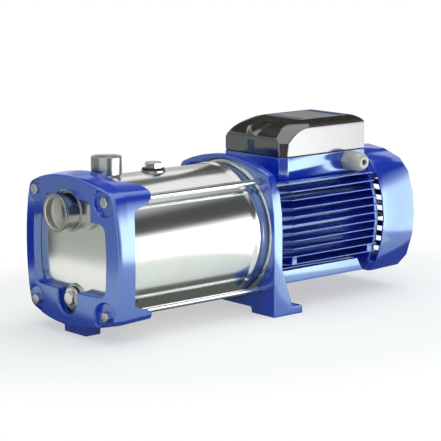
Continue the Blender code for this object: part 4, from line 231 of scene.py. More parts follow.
inner_knuckle = knuckle[::-4] + np.array([BARREL_WALL, -BARREL_WALL])
inner_end = front_end[::-4] + np.array([BARREL_WALL, 0])
inner_end[:, 1] *= 1 - BARREL_WALL / flat_radius
inner_end[-1, 1] = 0
barrel_profile = np.concatenate([front_end, knuckle, bead, rim, inner_knuckle, inner_end])
pump_body = surface("pump_shell", spun(barrel_profile, "X", (0, SHAFT_Z)))


def round_plug(axis, centre, radius, start, end):
    """Plain round tool for a hole: two ends at radius zero and a straight side between them."""
    profile = np.array([(start, 0), (start, radius), (end, radius), (end, 0)])
    return surface("tool", spun(profile, axis, centre, segments=96))


for rise, radius in ((SUCTION_RISE, SUCTION_BORE), (DRAIN_RISE, BOSS_HOLE)):
    pierce(pump_body, round_plug("X", (0, SHAFT_Z + rise), radius, DOME_APEX_X - CUT_DEPTH, CUT_DEPTH))
barrel_top = SHAFT_Z + BARREL_RADIUS
for x, radius in ((DELIVERY_X, DELIVERY_BORE), (FILLER_X, BOSS_HOLE)):
    pierce(pump_body, round_plug("Z", (x, 0), radius, barrel_top - CUT_DEPTH, barrel_top + CUT_DEPTH))
smooth(pump_body)
pump_body.data.materials.clear()
pump_body.data.materials.append(stainless)
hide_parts("pump_body")
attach(pump_body, "frame")

# Suction and delivery sockets
# Turned stainless sockets with a female pipe thread, welded to the shell by a thin collar.
# Turning leaves finer rings than the drawn sheet has, so they are a little duller.

SUCTION_MOUTH_X = -42.0 * MM
SUCTION_RADIUS = 23.5 * MM
SUCTION_LIP = 25.0 * MM
SUCTION_COLLAR = 26.5 * MM
SUCTION_COLLAR_X = -18.5 * MM
DELIVERY_TOP_Z = 226.2 * MM
DELIVERY_RADIUS = 20.0 * MM
DELIVERY_FOOT = 17.5 * MM
THREAD_PITCH = 2.31 * MM
THREAD_DEPTH = 0.9 * MM
PLAIN_MOUTH = 8.0 * MM
LEAD_IN = 1.2 * MM

# Stainless bar, turned: greyer and softer in gloss than the sheet. Its marks, too fine to show, are drawn
# 0.4 mm apart.
turned_steel = new_finish(
    "turned_stainless", "#b4b6b0", "#a6a8a2", 40 * MM, 0.4 * MM, 0.003 * MM, (1, 0.05, 0.05), 0.04,
    Metallic=1.0, Roughness=0.25)
# The same steel where the thread is cut, rougher and painted paler than the outside: painted light inside
# the bore.
bore_steel_painted_light = new_finish(
    "turned_stainless_painted_light_in_bore", "#e2e4de", "#d6d8d2", 40 * MM, 0.4 * MM, 0.003 * MM,
    (1, 0.05, 0.05), 0.04, Metallic=1.0, Roughness=0.55)


def thread(along, angle, start, end):
    """Depth of a pipe thread: a triangle wave of the place along less the turn, faded at both ends."""
    phase = (along / THREAD_PITCH - angle / (2 * np.pi)) % 1
    wave = 1 - np.abs(2 * phase - 1)
    fade = np.clip(np.minimum(along - start, end - along) / THREAD_PITCH, 0, 1)
    return THREAD_DEPTH * wave * fade


def suction_shape(along, radius, angle):
    """The bore gets its thread, and the inner end follows the dome it is welded to."""
    bore = radius <= SUCTION_BORE * 1.001
    radius = radius + bore * thread(along, angle, SUCTION_MOUTH_X + PLAIN_MOUTH, DOME_APEX_X - LEAD_IN)
    seat = dome_x(np.hypot(radius * np.cos(angle), SUCTION_RISE + radius * np.sin(angle))) + BARREL_WALL / 2
    return np.where(along > DOME_APEX_X + DOME_RISE, seat, along), radius


bore_rows = np.linspace(DOME_APEX_X, SUCTION_MOUTH_X + LEAD_IN, 130)
suction_profile = np.concatenate([
    soft_corners([
        (SUCTION_MOUTH_X + LEAD_IN, SUCTION_BORE, 0),
        (SUCTION_MOUTH_X, SUCTION_BORE + LEAD_IN, 0.3 * MM),
        (SUCTION_MOUTH_X, SUCTION_LIP, 0.7 * MM),
        (SUCTION_MOUTH_X + 3.0 * MM, SUCTION_LIP, 0.7 * MM),
        (SUCTION_MOUTH_X + 4.5 * MM, SUCTION_RADIUS, 0.6 * MM),
        (SUCTION_COLLAR_X, SUCTION_RADIUS, 0.8 * MM),
        (SUCTION_COLLAR_X, SUCTION_COLLAR, 0.8 * MM),
        (DOME_APEX_X + 2 * DOME_RISE, SUCTION_COLLAR, 0),
        (DOME_APEX_X + 2 * DOME_RISE, SUCTION_BORE, 0),
    ]),
    np.stack([bore_rows, 0 * bore_rows + SUCTION_BORE], axis=-1),
])
suction_grid = spun(suction_profile, "X", (0, SHAFT_Z + SUCTION_RISE), suction_shape)
suction = surface("suction_port", suction_grid, True)


def delivery_shape(along, radius, angle):
    """The bore gets its thread, and the foot is saddled over the round barrel."""
    bore = radius <= DELIVERY_BORE * 1.001
    radius = radius + bore * thread(along, angle, barrel_top + LEAD_IN, DELIVERY_TOP_Z - PLAIN_MOUTH)
    saddle = SHAFT_Z + np.sqrt(BARREL_RADIUS ** 2 - (radius * np.sin(angle)) ** 2) - BARREL_WALL / 2
    rise = np.clip((along - barrel_top) / (4 * MM), 0, 1)
    return saddle * (1 - rise) + along * rise + (1 - rise) * np.maximum(along - barrel_top, 0), radius


bore_rows = np.linspace(DELIVERY_TOP_Z - LEAD_IN, barrel_top, 110)
delivery_profile = np.concatenate([
    soft_corners([
        (barrel_top, DELIVERY_BORE, 0),
        (barrel_top, DELIVERY_FOOT, 0),
        (barrel_top + 1.2 * MM, DELIVERY_FOOT, 0.6 * MM),
        (barrel_top + 3.7 * MM, DELIVERY_RADIUS, 0.6 * MM),
        (DELIVERY_TOP_Z - 0.8 * MM, DELIVERY_RADIUS, 0.5 * MM),
        (DELIVERY_TOP_Z, DELIVERY_RADIUS - 0.8 * MM, 0.5 * MM),
        (DELIVERY_TOP_Z, DELIVERY_BORE + LEAD_IN, 0.3 * MM),
    ]),
    np.stack([bore_rows, 0 * bore_rows + DELIVERY_BORE], axis=-1),
])
delivery = surface("delivery_port", spun(delivery_profile, "Z", (DELIVERY_X, 0), delivery_shape), True)


def face_centres(mesh):
    """Middle of every face, one row each."""
    centres = np.empty(len(mesh.polygons) * 3)
    mesh.polygons.foreach_get("center", centres)
    return centres.reshape(-1, 3)


for port, node, across, middle, bore in (
        (suction, "suction_socket", [1, 2], (0, SHAFT_Z + SUCTION_RISE), SUCTION_BORE),
        (delivery, "delivery_socket", [0, 1], (DELIVERY_X, 0), DELIVERY_BORE)):
    smooth(port)
    port.data.materials.append(turned_steel)
    port.data.materials.append(bore_steel_painted_light)
    # Faces inside the bore take the paler steel: painted light in the bore.
    inside = np.hypot(*(face_centres(port.data)[:, across] - middle).T) < bore + THREAD_DEPTH
    port.data.polygons.foreach_set("material_index", inside.astype(np.int32))
    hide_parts(node)
    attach(port, "frame")

# Filler and drain fittings
# Each is a turned boss in the shell, a rubber washer and a hexagon plug with a chamfered head.
# The plugs are turned from bright stainless bar, so their flats are smooth and catch the light.

FILLER_FLATS = 22.0 * MM
FILLER_HEAD_Z = (203.5 * MM, 211.0 * MM)
FILLER_SHANK_Z = 191.5 * MM
DRAIN_FLATS = 17.0 * MM
DRAIN_HEAD_X = (-22.5 * MM, -15.5 * MM)
DRAIN_SHANK_X = -3.5 * MM
SHANK_RADIUS = 9.8 * MM
DRAIN_FLANGE = 14.8 * MM
WASHER_RADIUS = 14.8 * MM
DRAIN_SEAT = 18.5 * MM
DRAIN_SEAT_X = -13.7 * MM
DRAIN_WASHER_X = (-15.2 * MM, -14.0 * MM)
FILLER_WASHER_Z = (201.2 * MM, 203.2 * MM)
FILLER_BOSS_Z = (190.4 * MM, 200.9 * MM)
FILLER_BOSS = 16.0 * MM
BOSS_BORE = 10.3 * MM


def hex_shape(flats, low, high, turned_by=0.0):
    """Between low and high the radius is held to a hexagon: half the flats over the cosine of the
    angle from the nearest flat."""
    def shape(along, radius, angle):
        off = (angle + turned_by) % (np.pi / 3) - np.pi / 6
        inside = (along >= low - 1e-7) & (along <= high + 1e-7)
        return along, np.where(inside, np.minimum(radius, flats / 2 / np.cos(off)), radius)
    return shape


# Stainless bar, turned and left bright: paler than the sockets, with crisp glints on its flats.
bar_steel = new_finish(
    "bright_stainless_bar", "#d9d9d6", "#c9c9c5", 20 * MM, 0.3 * MM, 0.001 * MM, (1, 1, 0.1), 0.03,
    Metallic=1.0, Roughness=0.16)
# Nitrile rubber, moulded: near black with a dull sheen.
rubber = new_finish(
    "moulded_nitrile_rubber", "#1b1b1c", "#121213", 15 * MM, 0.4 * MM, 0.004 * MM, Roughness=0.62)

low, high = FILLER_HEAD_Z
corner = FILLER_FLATS / 2 / np.cos(np.pi / 6)
filler_profile = soft_corners([
    (FILLER_SHANK_Z, 0, 0), (FILLER_SHANK_Z, SHANK_RADIUS, 0.8 * MM), (low, SHANK_RADIUS, 0),
    (low, corner - 0.9 * MM, 0.2 * MM), (low + 0.5 * MM, corner, 0.2 * MM),
    (high - 1.2 * MM, corner, 0.3 * MM), (high, corner - 2.4 * MM, 0.4 * MM), (high, 0, 0)])
filler_shape = hex_shape(FILLER_FLATS, low, high)
filler = surface("filler_hex_plug", spun(filler_profile, "Z", (FILLER_X, 0), filler_shape))
low, high = DRAIN_HEAD_X
corner = DRAIN_FLATS / 2 / np.cos(np.pi / 6)
flange = high - 2.3 * MM
drain_profile = soft_corners([
    (low, 0, 0), (low, corner - 1.8 * MM, 0.3 * MM), (low + 1.0 * MM, corner, 0.3 * MM),
    (flange, corner, 0), (flange, DRAIN_FLANGE - 0.6 * MM, 0.3 * MM),
    (flange + 0.6 * MM, DRAIN_FLANGE, 0.3 * MM),
    (high, DRAIN_FLANGE, 0.3 * MM), (high, SHANK_RADIUS, 0), (DRAIN_SHANK_X, SHANK_RADIUS, 0.8 * MM),
    (DRAIN_SHANK_X, 0, 0)])
drain_shape = hex_shape(DRAIN_FLATS, low, flange, np.pi / 6)
drain = surface("drain_hex_plug", spun(drain_profile, "X", (0, SHAFT_Z + DRAIN_RISE), drain_shape))
for plug, node, body in ((filler, "filler_plug", "filler_plug"), (drain, "drain_plug", "drain_plug")):
    smooth(plug, 25)
    plug.data.materials.append(bar_steel)
    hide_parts(node)
    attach(plug, body)


def washer_ring(start, end, inner, outer):
    """Flat ring with rounded edges as a closed profile of four soft corners."""
    return soft_corners([(start, inner, 0.3 * MM), (start, outer, 0.5 * MM), (end, outer, 0.5 * MM),
                         (end, inner, 0.3 * MM)], True)


filler_ring = spun(washer_ring(*FILLER_WASHER_Z, BOSS_BORE, WASHER_RADIUS), "Z", (FILLER_X, 0))
drain_ring = spun(washer_ring(*DRAIN_WASHER_X, BOSS_BORE, WASHER_RADIUS), "X",
                  (0, SHAFT_Z + DRAIN_RISE))
for name, grid, body in (("filler_plug_washer", filler_ring, "filler_washer"),
                         ("drain_plug_washer", drain_ring, "drain_washer")):
    ring = surface(name.replace("plug", "rubber"), grid, True)
    smooth(ring)
    ring.data.materials.append(rubber)
    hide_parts(name)
    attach(ring, body)


def drain_seat_shape(along, radius, angle):
    """The seat's inner end follows the dome."""
    seat = dome_x(np.hypot(radius * np.cos(angle), DRAIN_RISE + radius * np.sin(angle))) + BARREL_WALL / 2
    return np.where(along > 0, seat, along), radius


seat_profile = soft_corners([(DRAIN_SEAT_X, BOSS_BORE, 0.3 * MM), (DRAIN_SEAT_X, DRAIN_SEAT, 0.8 * MM),
                             (MM, DRAIN_SEAT, 0), (MM, BOSS_BORE, 0)], True)
seat_grid = spun(seat_profile, "X", (0, SHAFT_Z + DRAIN_RISE), drain_seat_shape)
drain_seat = surface("drain_seat_ring", seat_grid, True)
boss_profile = soft_corners([
    (FILLER_BOSS_Z[0], BOSS_BORE, 0.3 * MM), (FILLER_BOSS_Z[0], FILLER_BOSS, 0.3 * MM),
    (FILLER_BOSS_Z[1], FILLER_BOSS, 0.5 * MM), (FILLER_BOSS_Z[1], BOSS_BORE, 0.3 * MM)], True)
filler_seat = surface("filler_seat_ring", spun(boss_profile, "Z", (FILLER_X, 0)), True)
for seat, node in ((drain_seat, "drain_boss"), (filler_seat, "filler_boss")):
    smooth(seat)
    seat.data.materials.append(turned_steel)
    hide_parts(node)
    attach(seat, "frame")

# Front bracket
# Cast iron ring, painted in royal blue gloss enamel: a crowned front face with a large window, four
# round seats for the bolt heads, and four lobes that reach back over the barrel between scallops.

FACE_X = -24.7 * MM
CROWN_RADIUS = 580.0 * MM
CORNER_Y = 88.6 * MM
CORNER_RISE = 82.5 * MM
SIDE_BOW = 12.0 * MM
TOP_BOW = 19.0 * MM
BOTTOM_BOW = 14.0 * MM
CORNER_BLUR = np.radians(2.2)
PARTING_X = 1.0 * MM
FRONT_DRAFT = 1.6 * MM
REAR_DRAFT = 2.2 * MM
LOBE_END_X = 46.0 * MM
TOP_SCALLOP_X = 17.0 * MM
TOP_SCALLOP_Y = 49.5 * MM
TOP_SCALLOP_EASE = 20.0 * MM
SIDE_SCALLOP_X = 13.0 * MM
SIDE_SCALLOP_RISE = 59.0 * MM
SIDE_SCALLOP_EASE = 15.0 * MM
SIDE_SCALLOP_SAG = 4.0 * MM
SIDE_SAG_RISE = 60.5 * MM
LOBE_ROUND = 12.0 * MM
LOBE_OUTER_Y = 93.0 * MM
LOBE_OUTER_RISE = 93.5 * MM
WINDOW_HALF_WIDTH = 73.5 * MM
WINDOW_TOP = 44.5 * MM
WINDOW_BOTTOM = -49.0 * MM
WINDOW_ROUND = 13.0 * MM
NOTCH_HALF_WIDTH = 48.2 * MM
NOTCH_TOP = 71.0 * MM
PORT_NOTCH_RADIUS = 29.0 * MM
DRAIN_NOTCH_RADIUS = 20.5 * MM
SEAT_X = -16.0 * MM
SEAT_RADIUS = 19.0 * MM
SEAT_RIM = 2.2 * MM
TIE_Y = 73.5 * MM
TIE_RISE = 73.0 * MM
POCKET_RADIUS = 92.0 * MM
EDGE_ROUND = 2.6 * MM
FINE_ROUND = 1.3 * MM
RAYS = 600

# Royal blue enamel, sprayed and baked: deep blue under a strong gloss. Its IOR and specular level lie
# above a real enamel's and were set with the cards of the studio in place. Without them it looks paler
# and more violet than its colour is written.
enamel = new_finish(
    "royal_blue_gloss_enamel", "#0b34c4", "#092cb4", 70 * MM, 1.6 * MM, 0.010 * MM, scatter=0.03,
    Roughness=0.16, IOR=2.1, Specular_IOR_Level=1.0, Specular_Tint=hex_colour("#d2f3f8"))


def smooth_step(value):
    """0 below 0, 1 above 1, and three squares less two cubes between."""
    value = np.clip(value, 0, 1)
    return value * value * (3 - 2 * value)


def ray_reach(outline, angle):
    """Distance along each ray to its last crossing with a closed outline, by cross products."""
    start = np.asarray(outline, float)
    edge = np.roll(start, -1, axis=0) - start
    ray = np.stack([np.cos(angle), np.sin(angle)], axis=-1)
    facing = ray[:, :1] * edge[:, 1] - ray[:, 1:] * edge[:, 0]
    facing = np.where(np.abs(facing) < 1e-12, 1e-12, facing)
    reach = (start[:, 0] * edge[:, 1] - start[:, 1] * edge[:, 0]) / facing
    share = (start[:, 0] * ray[:, 1:] - start[:, 1] * ray[:, :1]) / facing
    return np.where((share >= -1e-9) & (share <= 1 + 1e-9) & (reach > 0), reach, 0).max(axis=1)


def blurred(values, width):
    """Round the loop average with a bell of the given angular width, done on its waves."""
    wave = np.arange(len(values) // 2 + 1)
    return np.fft.irfft(np.fft.rfft(values) * np.exp(-0.5 * (wave * width) ** 2), len(values))


def bowed(first, last, sag, steps=40):
    """Shallow parabola between two points, bulging to the right of its way."""
    share = np.linspace(0, 1, steps, endpoint=False)[:, None]
    way = np.subtract(last, first)
    outward = np.array([way[1], -way[0]]) / np.hypot(*way)
    return np.asarray(first) + way * share + outward * sag * 4 * share * (1 - share)


angle = np.linspace(0, 2 * np.pi, RAYS, endpoint=False)
low_right, high_right = (CORNER_Y, -CORNER_RISE), (CORNER_Y, CORNER_RISE)
high_left, low_left = (-CORNER_Y, CORNER_RISE), (-CORNER_Y, -CORNER_RISE)
square = np.concatenate([
    bowed(low_right, high_right, SIDE_BOW), bowed(high_right, high_left, TOP_BOW),
    bowed(high_left, low_left, SIDE_BOW), bowed(low_left, low_right, BOTTOM_BOW)])
outer = blurred(ray_reach(square, angle), CORNER_BLUR)


def mirrored(half):
    return half + [(-y, rise, reach) for y, rise, reach in reversed(half)]


window = soft_corners(mirrored([(WINDOW_HALF_WIDTH, WINDOW_BOTTOM, WINDOW_ROUND),
                                (WINDOW_HALF_WIDTH + 3 * MM, 0, 30 * MM),
                                (WINDOW_HALF_WIDTH, WINDOW_TOP, WINDOW_ROUND)]), True, 10)
notch = soft_corners(mirrored([(NOTCH_HALF_WIDTH, -5 * MM, 0),
                               (NOTCH_HALF_WIDTH, NOTCH_TOP, 9 * MM)]), True, 10)
turn = np.linspace(0, 2 * np.pi, 120, endpoint=False)
port = np.stack([PORT_NOTCH_RADIUS * np.cos(turn), SUCTION_RISE + PORT_NOTCH_RADIUS * np.sin(turn)], -1)
turn = np.linspace(np.pi, 2 * np.pi, 40)
drain_arc = np.stack([DRAIN_NOTCH_RADIUS * np.cos(turn), DRAIN_RISE + DRAIN_NOTCH_RADIUS * np.sin(turn)], -1)
drain_notch = np.concatenate([drain_arc, [(DRAIN_NOTCH_RADIUS, 5 * MM), (-DRAIN_NOTCH_RADIUS, 5 * MM)]])
inner = np.max([ray_reach(part, angle) for part in (window, notch, port, drain_notch)], axis=0)
inner = blurred(inner, np.radians(0.45))


def face_x(reach):
    """Crowned front, sunk round the bolt heads: a circle in plan, less each seat's soft-edged disc."""
    y, rise = reach * np.cos(angle), reach * np.sin(angle)
    crown = FACE_X + CROWN_RADIUS - np.sqrt(CROWN_RADIUS ** 2 - y ** 2)
    from_bolt = np.hypot(np.abs(y) - TIE_Y, np.abs(rise) - TIE_RISE)
    sunk = smooth_step((SEAT_RADIUS - from_bolt) / (1.6 * MM)) * smooth_step((rimmed - reach) / (1.2 * MM))
    return crown + (SEAT_X - crown) * sunk


def rear_x(reach):
    """Rear edge: four lobes where both the plan and the side view allow them, scallops between."""
    y, rise = np.abs(reach * np.cos(angle)), np.abs(reach * np.sin(angle))
    over = smooth_step((y - TOP_SCALLOP_Y) / TOP_SCALLOP_EASE)
    plan = TOP_SCALLOP_X + (LOBE_END_X - TOP_SCALLOP_X) * over
    sag = SIDE_SCALLOP_SAG * (1 - np.minimum(rise / SIDE_SAG_RISE, 1) ** 2)
    beside = smooth_step((rise - SIDE_SCALLOP_RISE) / SIDE_SCALLOP_EASE)
    side = SIDE_SCALLOP_X - sag + (LOBE_END_X - SIDE_SCALLOP_X) * beside
    past_y = np.clip(y - (LOBE_OUTER_Y - LOBE_ROUND), 0, LOBE_ROUND)
    past_rise = np.clip(rise - (LOBE_OUTER_RISE - LOBE_ROUND), 0, LOBE_ROUND)
    corner_y = LOBE_ROUND - np.sqrt(LOBE_ROUND ** 2 - past_y ** 2)
    corner_rise = LOBE_ROUND - np.sqrt(LOBE_ROUND ** 2 - past_rise ** 2)
    return np.minimum(np.minimum(plan, side), LOBE_END_X - np.maximum(corner_y, corner_rise))


def skin(x):
    """Outer skin: the bowed square, drawn in by the draft either side of the parting line."""
    front = np.clip((PARTING_X - x) / (PARTING_X - FACE_X), 0, 1)
    rear = np.clip((x - PARTING_X) / (LOBE_END_X - PARTING_X), 0, 1)
    return outer - FRONT_DRAFT * front - REAR_DRAFT * rear


front_outer = skin(FACE_X)
rimmed = front_outer - SEAT_RIM
quarter = np.linspace(0, np.pi / 2, 6)
rows = []
for a in quarter:
    reach = inner + FINE_ROUND * (1 - np.cos(a))
    rows.append((face_x(inner + FINE_ROUND) + FINE_ROUND * (1 - np.sin(a)), reach))
for part in np.linspace(0, 1, 62)[1:]:
    reach = inner + FINE_ROUND + (front_outer - EDGE_ROUND - inner - FINE_ROUND) * part
    rows.append((face_x(reach), reach))
edge_x = face_x(front_outer - EDGE_ROUND)
for a in quarter[1:]:
    rows.append((edge_x + EDGE_ROUND * (1 - np.cos(a)), front_outer - EDGE_ROUND * (1 - np.sin(a))))
for part in np.linspace(0, 1, 9)[1:]:
    x = edge_x + EDGE_ROUND + (PARTING_X - edge_x - EDGE_ROUND) * part
    rows.append((x, skin(x)))
end_x = rear_x(outer)
for part in np.linspace(0, 1, 25)[1:]:
    x = PARTING_X + (end_x - FINE_ROUND - PARTING_X) * part
    rows.append((x, skin(x)))
last_outer = rows[-1][1]
for a in quarter[1:]:
    reach = last_outer - FINE_ROUND * (1 - np.cos(a))
    rows.append((rear_x(reach) - FINE_ROUND * (1 - np.sin(a)), reach))
for part in np.linspace(0, 1, 12)[1:]:
    reach = last_outer - FINE_ROUND + (POCKET_RADIUS + FINE_ROUND / 2 - last_outer + FINE_ROUND) * part
    rows.append((rear_x(reach), reach))
pocket_end = rear_x(POCKET_RADIUS + 0 * angle) - FINE_ROUND / 2
for part in np.linspace(0, 1, 12):
    x = pocket_end + (knuckle_start - pocket_end) * part
    rows.append((x, POCKET_RADIUS + 0 * angle))
for part in np.linspace(0, 1, 16)[1:]:
    reach = POCKET_RADIUS + (inner - POCKET_RADIUS) * part
    rows.append((dome_x(np.minimum(reach, BARREL_RADIUS), 0.5 * MM), reach))
last_x = rows[-1][0]
for part in np.linspace(0, 1, 7)[1:-1]:
    rows.append((last_x + (rows[0][0] - last_x) * part, inner))
x = np.stack([row[0] + 0 * angle for row in rows])
reach = np.stack([row[1] for row in rows])
bracket_grid = np.stack([x, reach * np.cos(angle), SHAFT_Z + reach * np.sin(angle)], axis=-1)
bracket = surface("front_bracket_casting", bracket_grid, True)
smooth(bracket, 40)
bracket.data.materials.append(enamel)
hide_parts("front_bracket")
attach(bracket, "frame")

# Front foot
# Flared block cast on the bottom of the front bracket, with its edges broken by hand.

FOOT_LENGTH = 24.0 * MM
FOOT_HALF_WIDTH = 23.0 * MM
FOOT_FLARE = 11.0 * MM


def blocked(outline, start, end, axis="X"):
    """Grid of a prism: an outline of (across, up) points carried from start to end, closed by
    rows that shrink to the outline's middle."""
    outline = np.asarray(outline, float)[:, :2]
    middle = outline.mean(axis=0)
    rows = [(start, 0 * outline + middle), (start, outline), (end, outline), (end, 0 * outline + middle)]
    grid = []
    for along, ring in rows:
        along = np.full(len(ring), along)
        order = {"X": (along, ring[:, 0], ring[:, 1]), "Y": (ring[:, 0], along, ring[:, 1]),
                 "Z": (ring[:, 0], ring[:, 1], along)}[axis]
        grid.append(np.stack(order, axis=-1))
    return np.stack(grid)


def soften(piece, width, segments=3, angle=30):
    """Breaks a piece's edges with a rounded bevel."""
    bevel = piece.modifiers.new("broken_edges", "BEVEL")
    bevel.width = width
    bevel.segments = segments
    bevel.limit_method = "ANGLE"
    bevel.angle_limit = np.radians(angle)
    bevel.use_clamp_overlap = True
    bevel.harden_normals = False
    piece.data.shade_smooth()


foot_outline = soft_corners(mirrored([
    (FOOT_HALF_WIDTH, 0, 1.2 * MM), (FOOT_HALF_WIDTH, 8.5 * MM, 4 * MM),
    (FOOT_HALF_WIDTH + FOOT_FLARE, 16.5 * MM, 0)]), True)
foot = surface("front_bracket_foot", blocked(foot_outline, -FOOT_LENGTH / 2, FOOT_LENGTH / 2))
soften(foot, 1.2 * MM)
foot.data.materials.append(enamel)
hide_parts("front_bracket")
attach(foot, "frame")

# Tie bolts
# Four long zinc-plated M8 bolts that clamp the barrel between the brackets. Cold-headed hexagons
# with a washer face; bright zinc is silvery with a faint blue and a soft gloss.

BOLT_FLATS = 13.0 * MM
BOLT_HEAD_X = (-21.7 * MM, -16.3 * MM)
BOLT_END_X = 250.5 * MM
BOLT_RADIUS = 4.0 * MM

# Steel, electroplated with bright zinc: silvery with a faint blue and a soft gloss.
zinc = new_finish(
    "bright_zinc_plate", "#d4d7da", "#c2c6ca", 25 * MM, 0.8 * MM, 0.006 * MM, Metallic=1.0, Roughness=0.26)
low, high = BOLT_HEAD_X
corner = BOLT_FLATS / 2 / np.cos(np.pi / 6)
bolt_profile = soft_corners([
    (low, 0, 0), (low, corner - 1.6 * MM, 0.3 * MM), (low + 0.9 * MM, corner, 0.3 * MM),
    (high, corner, 0), (high, BOLT_RADIUS, 0.3 * MM),
    (BOLT_END_X, BOLT_RADIUS, 0.6 * MM), (BOLT_END_X, 0, 0)])
corners = ((1, 1), (-1, 1), (-1, -1), (1, -1))
for number, (side, level) in enumerate(corners, 1):
    centre = (side * TIE_Y, SHAFT_Z + level * TIE_RISE)
    shape = hex_shape(BOLT_FLATS, low, high)
    bolt = surface("tie_rod_%d" % number, spun(bolt_profile, "X", centre, shape, 96))
    smooth(bolt, 25)
    bolt.data.materials.append(zinc)
    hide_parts("tie_bolt_%d" % number)
    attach(bolt, "frame")

# Motor bracket and motor housing
# Grey iron and aluminium castings in the same blue enamel: the bracket has the barrel's register,
# two side feet with gussets; the housing has level cooling fins round a bored tube, and a slab below.


def softened_copy(node, name, width, segments=3, angle=30):
    """The solid's own shape with its flat faces joined and its edges broken."""
    source = frame["nodes"][node]
    mesh = source.data.copy()
    mesh.transform(source.matrix_world)
    shape = bmesh.new()
    shape.from_mesh(mesh)
    bmesh.ops.remove_doubles(shape, verts=shape.verts, dist=0.002 * MM)
    bmesh.ops.dissolve_limit(shape, angle_limit=np.radians(0.4), verts=shape.verts, edges=shape.edges)
    shape.to_mesh(mesh)
    shape.free()
    mesh.materials.clear()
    piece = bpy.data.objects.new(name, mesh)
    bpy.context.scene.collection.objects.link(piece)
    soften(piece, width, segments, angle)
    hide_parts(node)
    return piece


FIN_PITCH = 11.0 * MM
FIN_HALF = 1.4 * MM
FIN_ROOT_Y = 66.0 * MM
FIN_TIP_Y = 80.0 * MM
FIN_LEVELS = (-4, 6)
FIN_TIP_SHARE = 0.4
FIN_SHADE_ZONE = (56.0 * MM, 175.3 * MM)

# The same enamel between the fins, rougher and less glossy, with its colour painted darker: painted shade
# in the narrow gaps between the fins. Its IOR is raised in the same way.
fin_enamel_painted_shade = new_finish(
    "royal_blue_enamel_painted_shade_in_fins", "#0926b0", "#071f9c", 70 * MM, 1.6 * MM, 0.010 * MM, scatter=0.04,
    Roughness=0.28, IOR=1.8, Specular_IOR_Level=0.9, Specular_Tint=hex_colour("#d2f3f8"))


def taper_fins(mesh):
    """Draws every fin in towards its tip: the offset from the fin's own level shrinks with |y|."""
    points = np.empty(len(mesh.vertices) * 3)
    mesh.vertices.foreach_get("co", points)
    points = points.reshape(-1, 3)
    level = np.clip(np.round((points[:, 2] - SHAFT_Z) / FIN_PITCH), *FIN_LEVELS)
    off = points[:, 2] - SHAFT_Z - level * FIN_PITCH
    share = np.clip((np.abs(points[:, 1]) - FIN_ROOT_Y) / (FIN_TIP_Y - FIN_ROOT_Y), 0, 1)
    drawn = off * (1 - (1 - FIN_TIP_SHARE) * share)
    points[:, 2] += np.where(np.abs(off) <= FIN_HALF, drawn - off, 0)
    mesh.vertices.foreach_set("co", points.ravel())
    mesh.update()


for node, name, width in (("motor_bracket", "motor_bracket_casting", 1.0 * MM),
                          ("motor_housing", "finned_motor_housing", 0.4 * MM)):
    casting = softened_copy(node, name, width)
    casting.data.materials.append(enamel)
    if node == "motor_housing":
        taper_fins(casting.data)
        # Faces in the finned band take the darker enamel: painted shade between the fins.
        casting.data.materials.append(fin_enamel_painted_shade)
        height = face_centres(casting.data)[:, 2]
        finned = (height > FIN_SHADE_ZONE[0]) & (height < FIN_SHADE_ZONE[1])
        casting.data.polygons.foreach_set("material_index", finned.astype(np.int32))
    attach(casting, "frame")

# Rear end shield and studs
# The shield is the same casting metal, painted with the motor; its studs are zinc-plated steel.

shield = softened_copy("rear_end_shield", "rear_shield_casting", 0.5 * MM)
# The shield takes the enamel painted darker: painted shade in the gap between the fins and the fan cover.
shield.data.materials.append(fin_enamel_painted_shade)
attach(shield, "frame")
for number in range(1, 5):
    frame["nodes"]["motor_stud_%d" % number].material_slots[0].material = zinc

# Fan cover
# Deep-drawn steel pressing in blue enamel with a slotted rear face, 45-degree shoulders and a
# turned-in lip at its open front edge.

COVER_EDGE_X = 463.5 * MM
LIP_CREASE_X = 467.0 * MM
LIP_FRONT_X = 459.8 * MM
LIP_DRAWN_IN = 0.990


def turn_lip(mesh):
    """Adds a crease behind the pressing's open edge, then draws the edge forwards and inwards."""
    shape = bmesh.new()
    shape.from_mesh(mesh)
    parts = [*shape.verts, *shape.edges, *shape.faces]
    bmesh.ops.bisect_plane(shape, geom=parts, plane_co=(LIP_CREASE_X, 0, 0), plane_no=(1, 0, 0))
    shape.to_mesh(mesh)
    shape.free()
    points = np.empty(len(mesh.vertices) * 3)
    mesh.vertices.foreach_get("co", points)
    points = points.reshape(-1, 3)
    edge = points[:, 0] < COVER_EDGE_X + 0.2 * MM
    points[edge, 0] += LIP_FRONT_X - COVER_EDGE_X
    points[edge, 1] *= LIP_DRAWN_IN
    points[edge, 2] = SHAFT_Z + (points[edge, 2] - SHAFT_Z) * LIP_DRAWN_IN
    mesh.vertices.foreach_set("co", points.ravel())
    mesh.update()


cover = softened_copy("fan_cover", "fan_cover_pressing", 0.7 * MM)
turn_lip(cover.data)
cover.data.materials.append(enamel)
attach(cover, "frame")

# Terminal box
# Painted metal base and a glossy dark moulded cover on a thin rubber gasket. The cover has upright
# walls and a hood that slopes up to a flat top with a plain grey label.

BOX_FRONT_X = 293.0 * MM
BOX_REAR_X = 451.0 * MM
BOX_HALF_WIDTH = 62.0 * MM
BOX_REAR_CHAMFER = 2.0 * MM
COVER_LOW_Z = 206.8 * MM
COVER_STRAIGHT_Z = 224.5 * MM
COVER_TOP_Z = 251.1 * MM
COVER_WALL = 3.0 * MM
SIDE_STEPS = 56
BULGE_AT = (311.0 * MM, 2.0 * MM)
BULGE_RADIUS = 20.0 * MM
BULGE_HEIGHT = 2.0 * MM
DISH_RADIUS = 11.0 * MM
DISH_DEPTH = 1.5 * MM
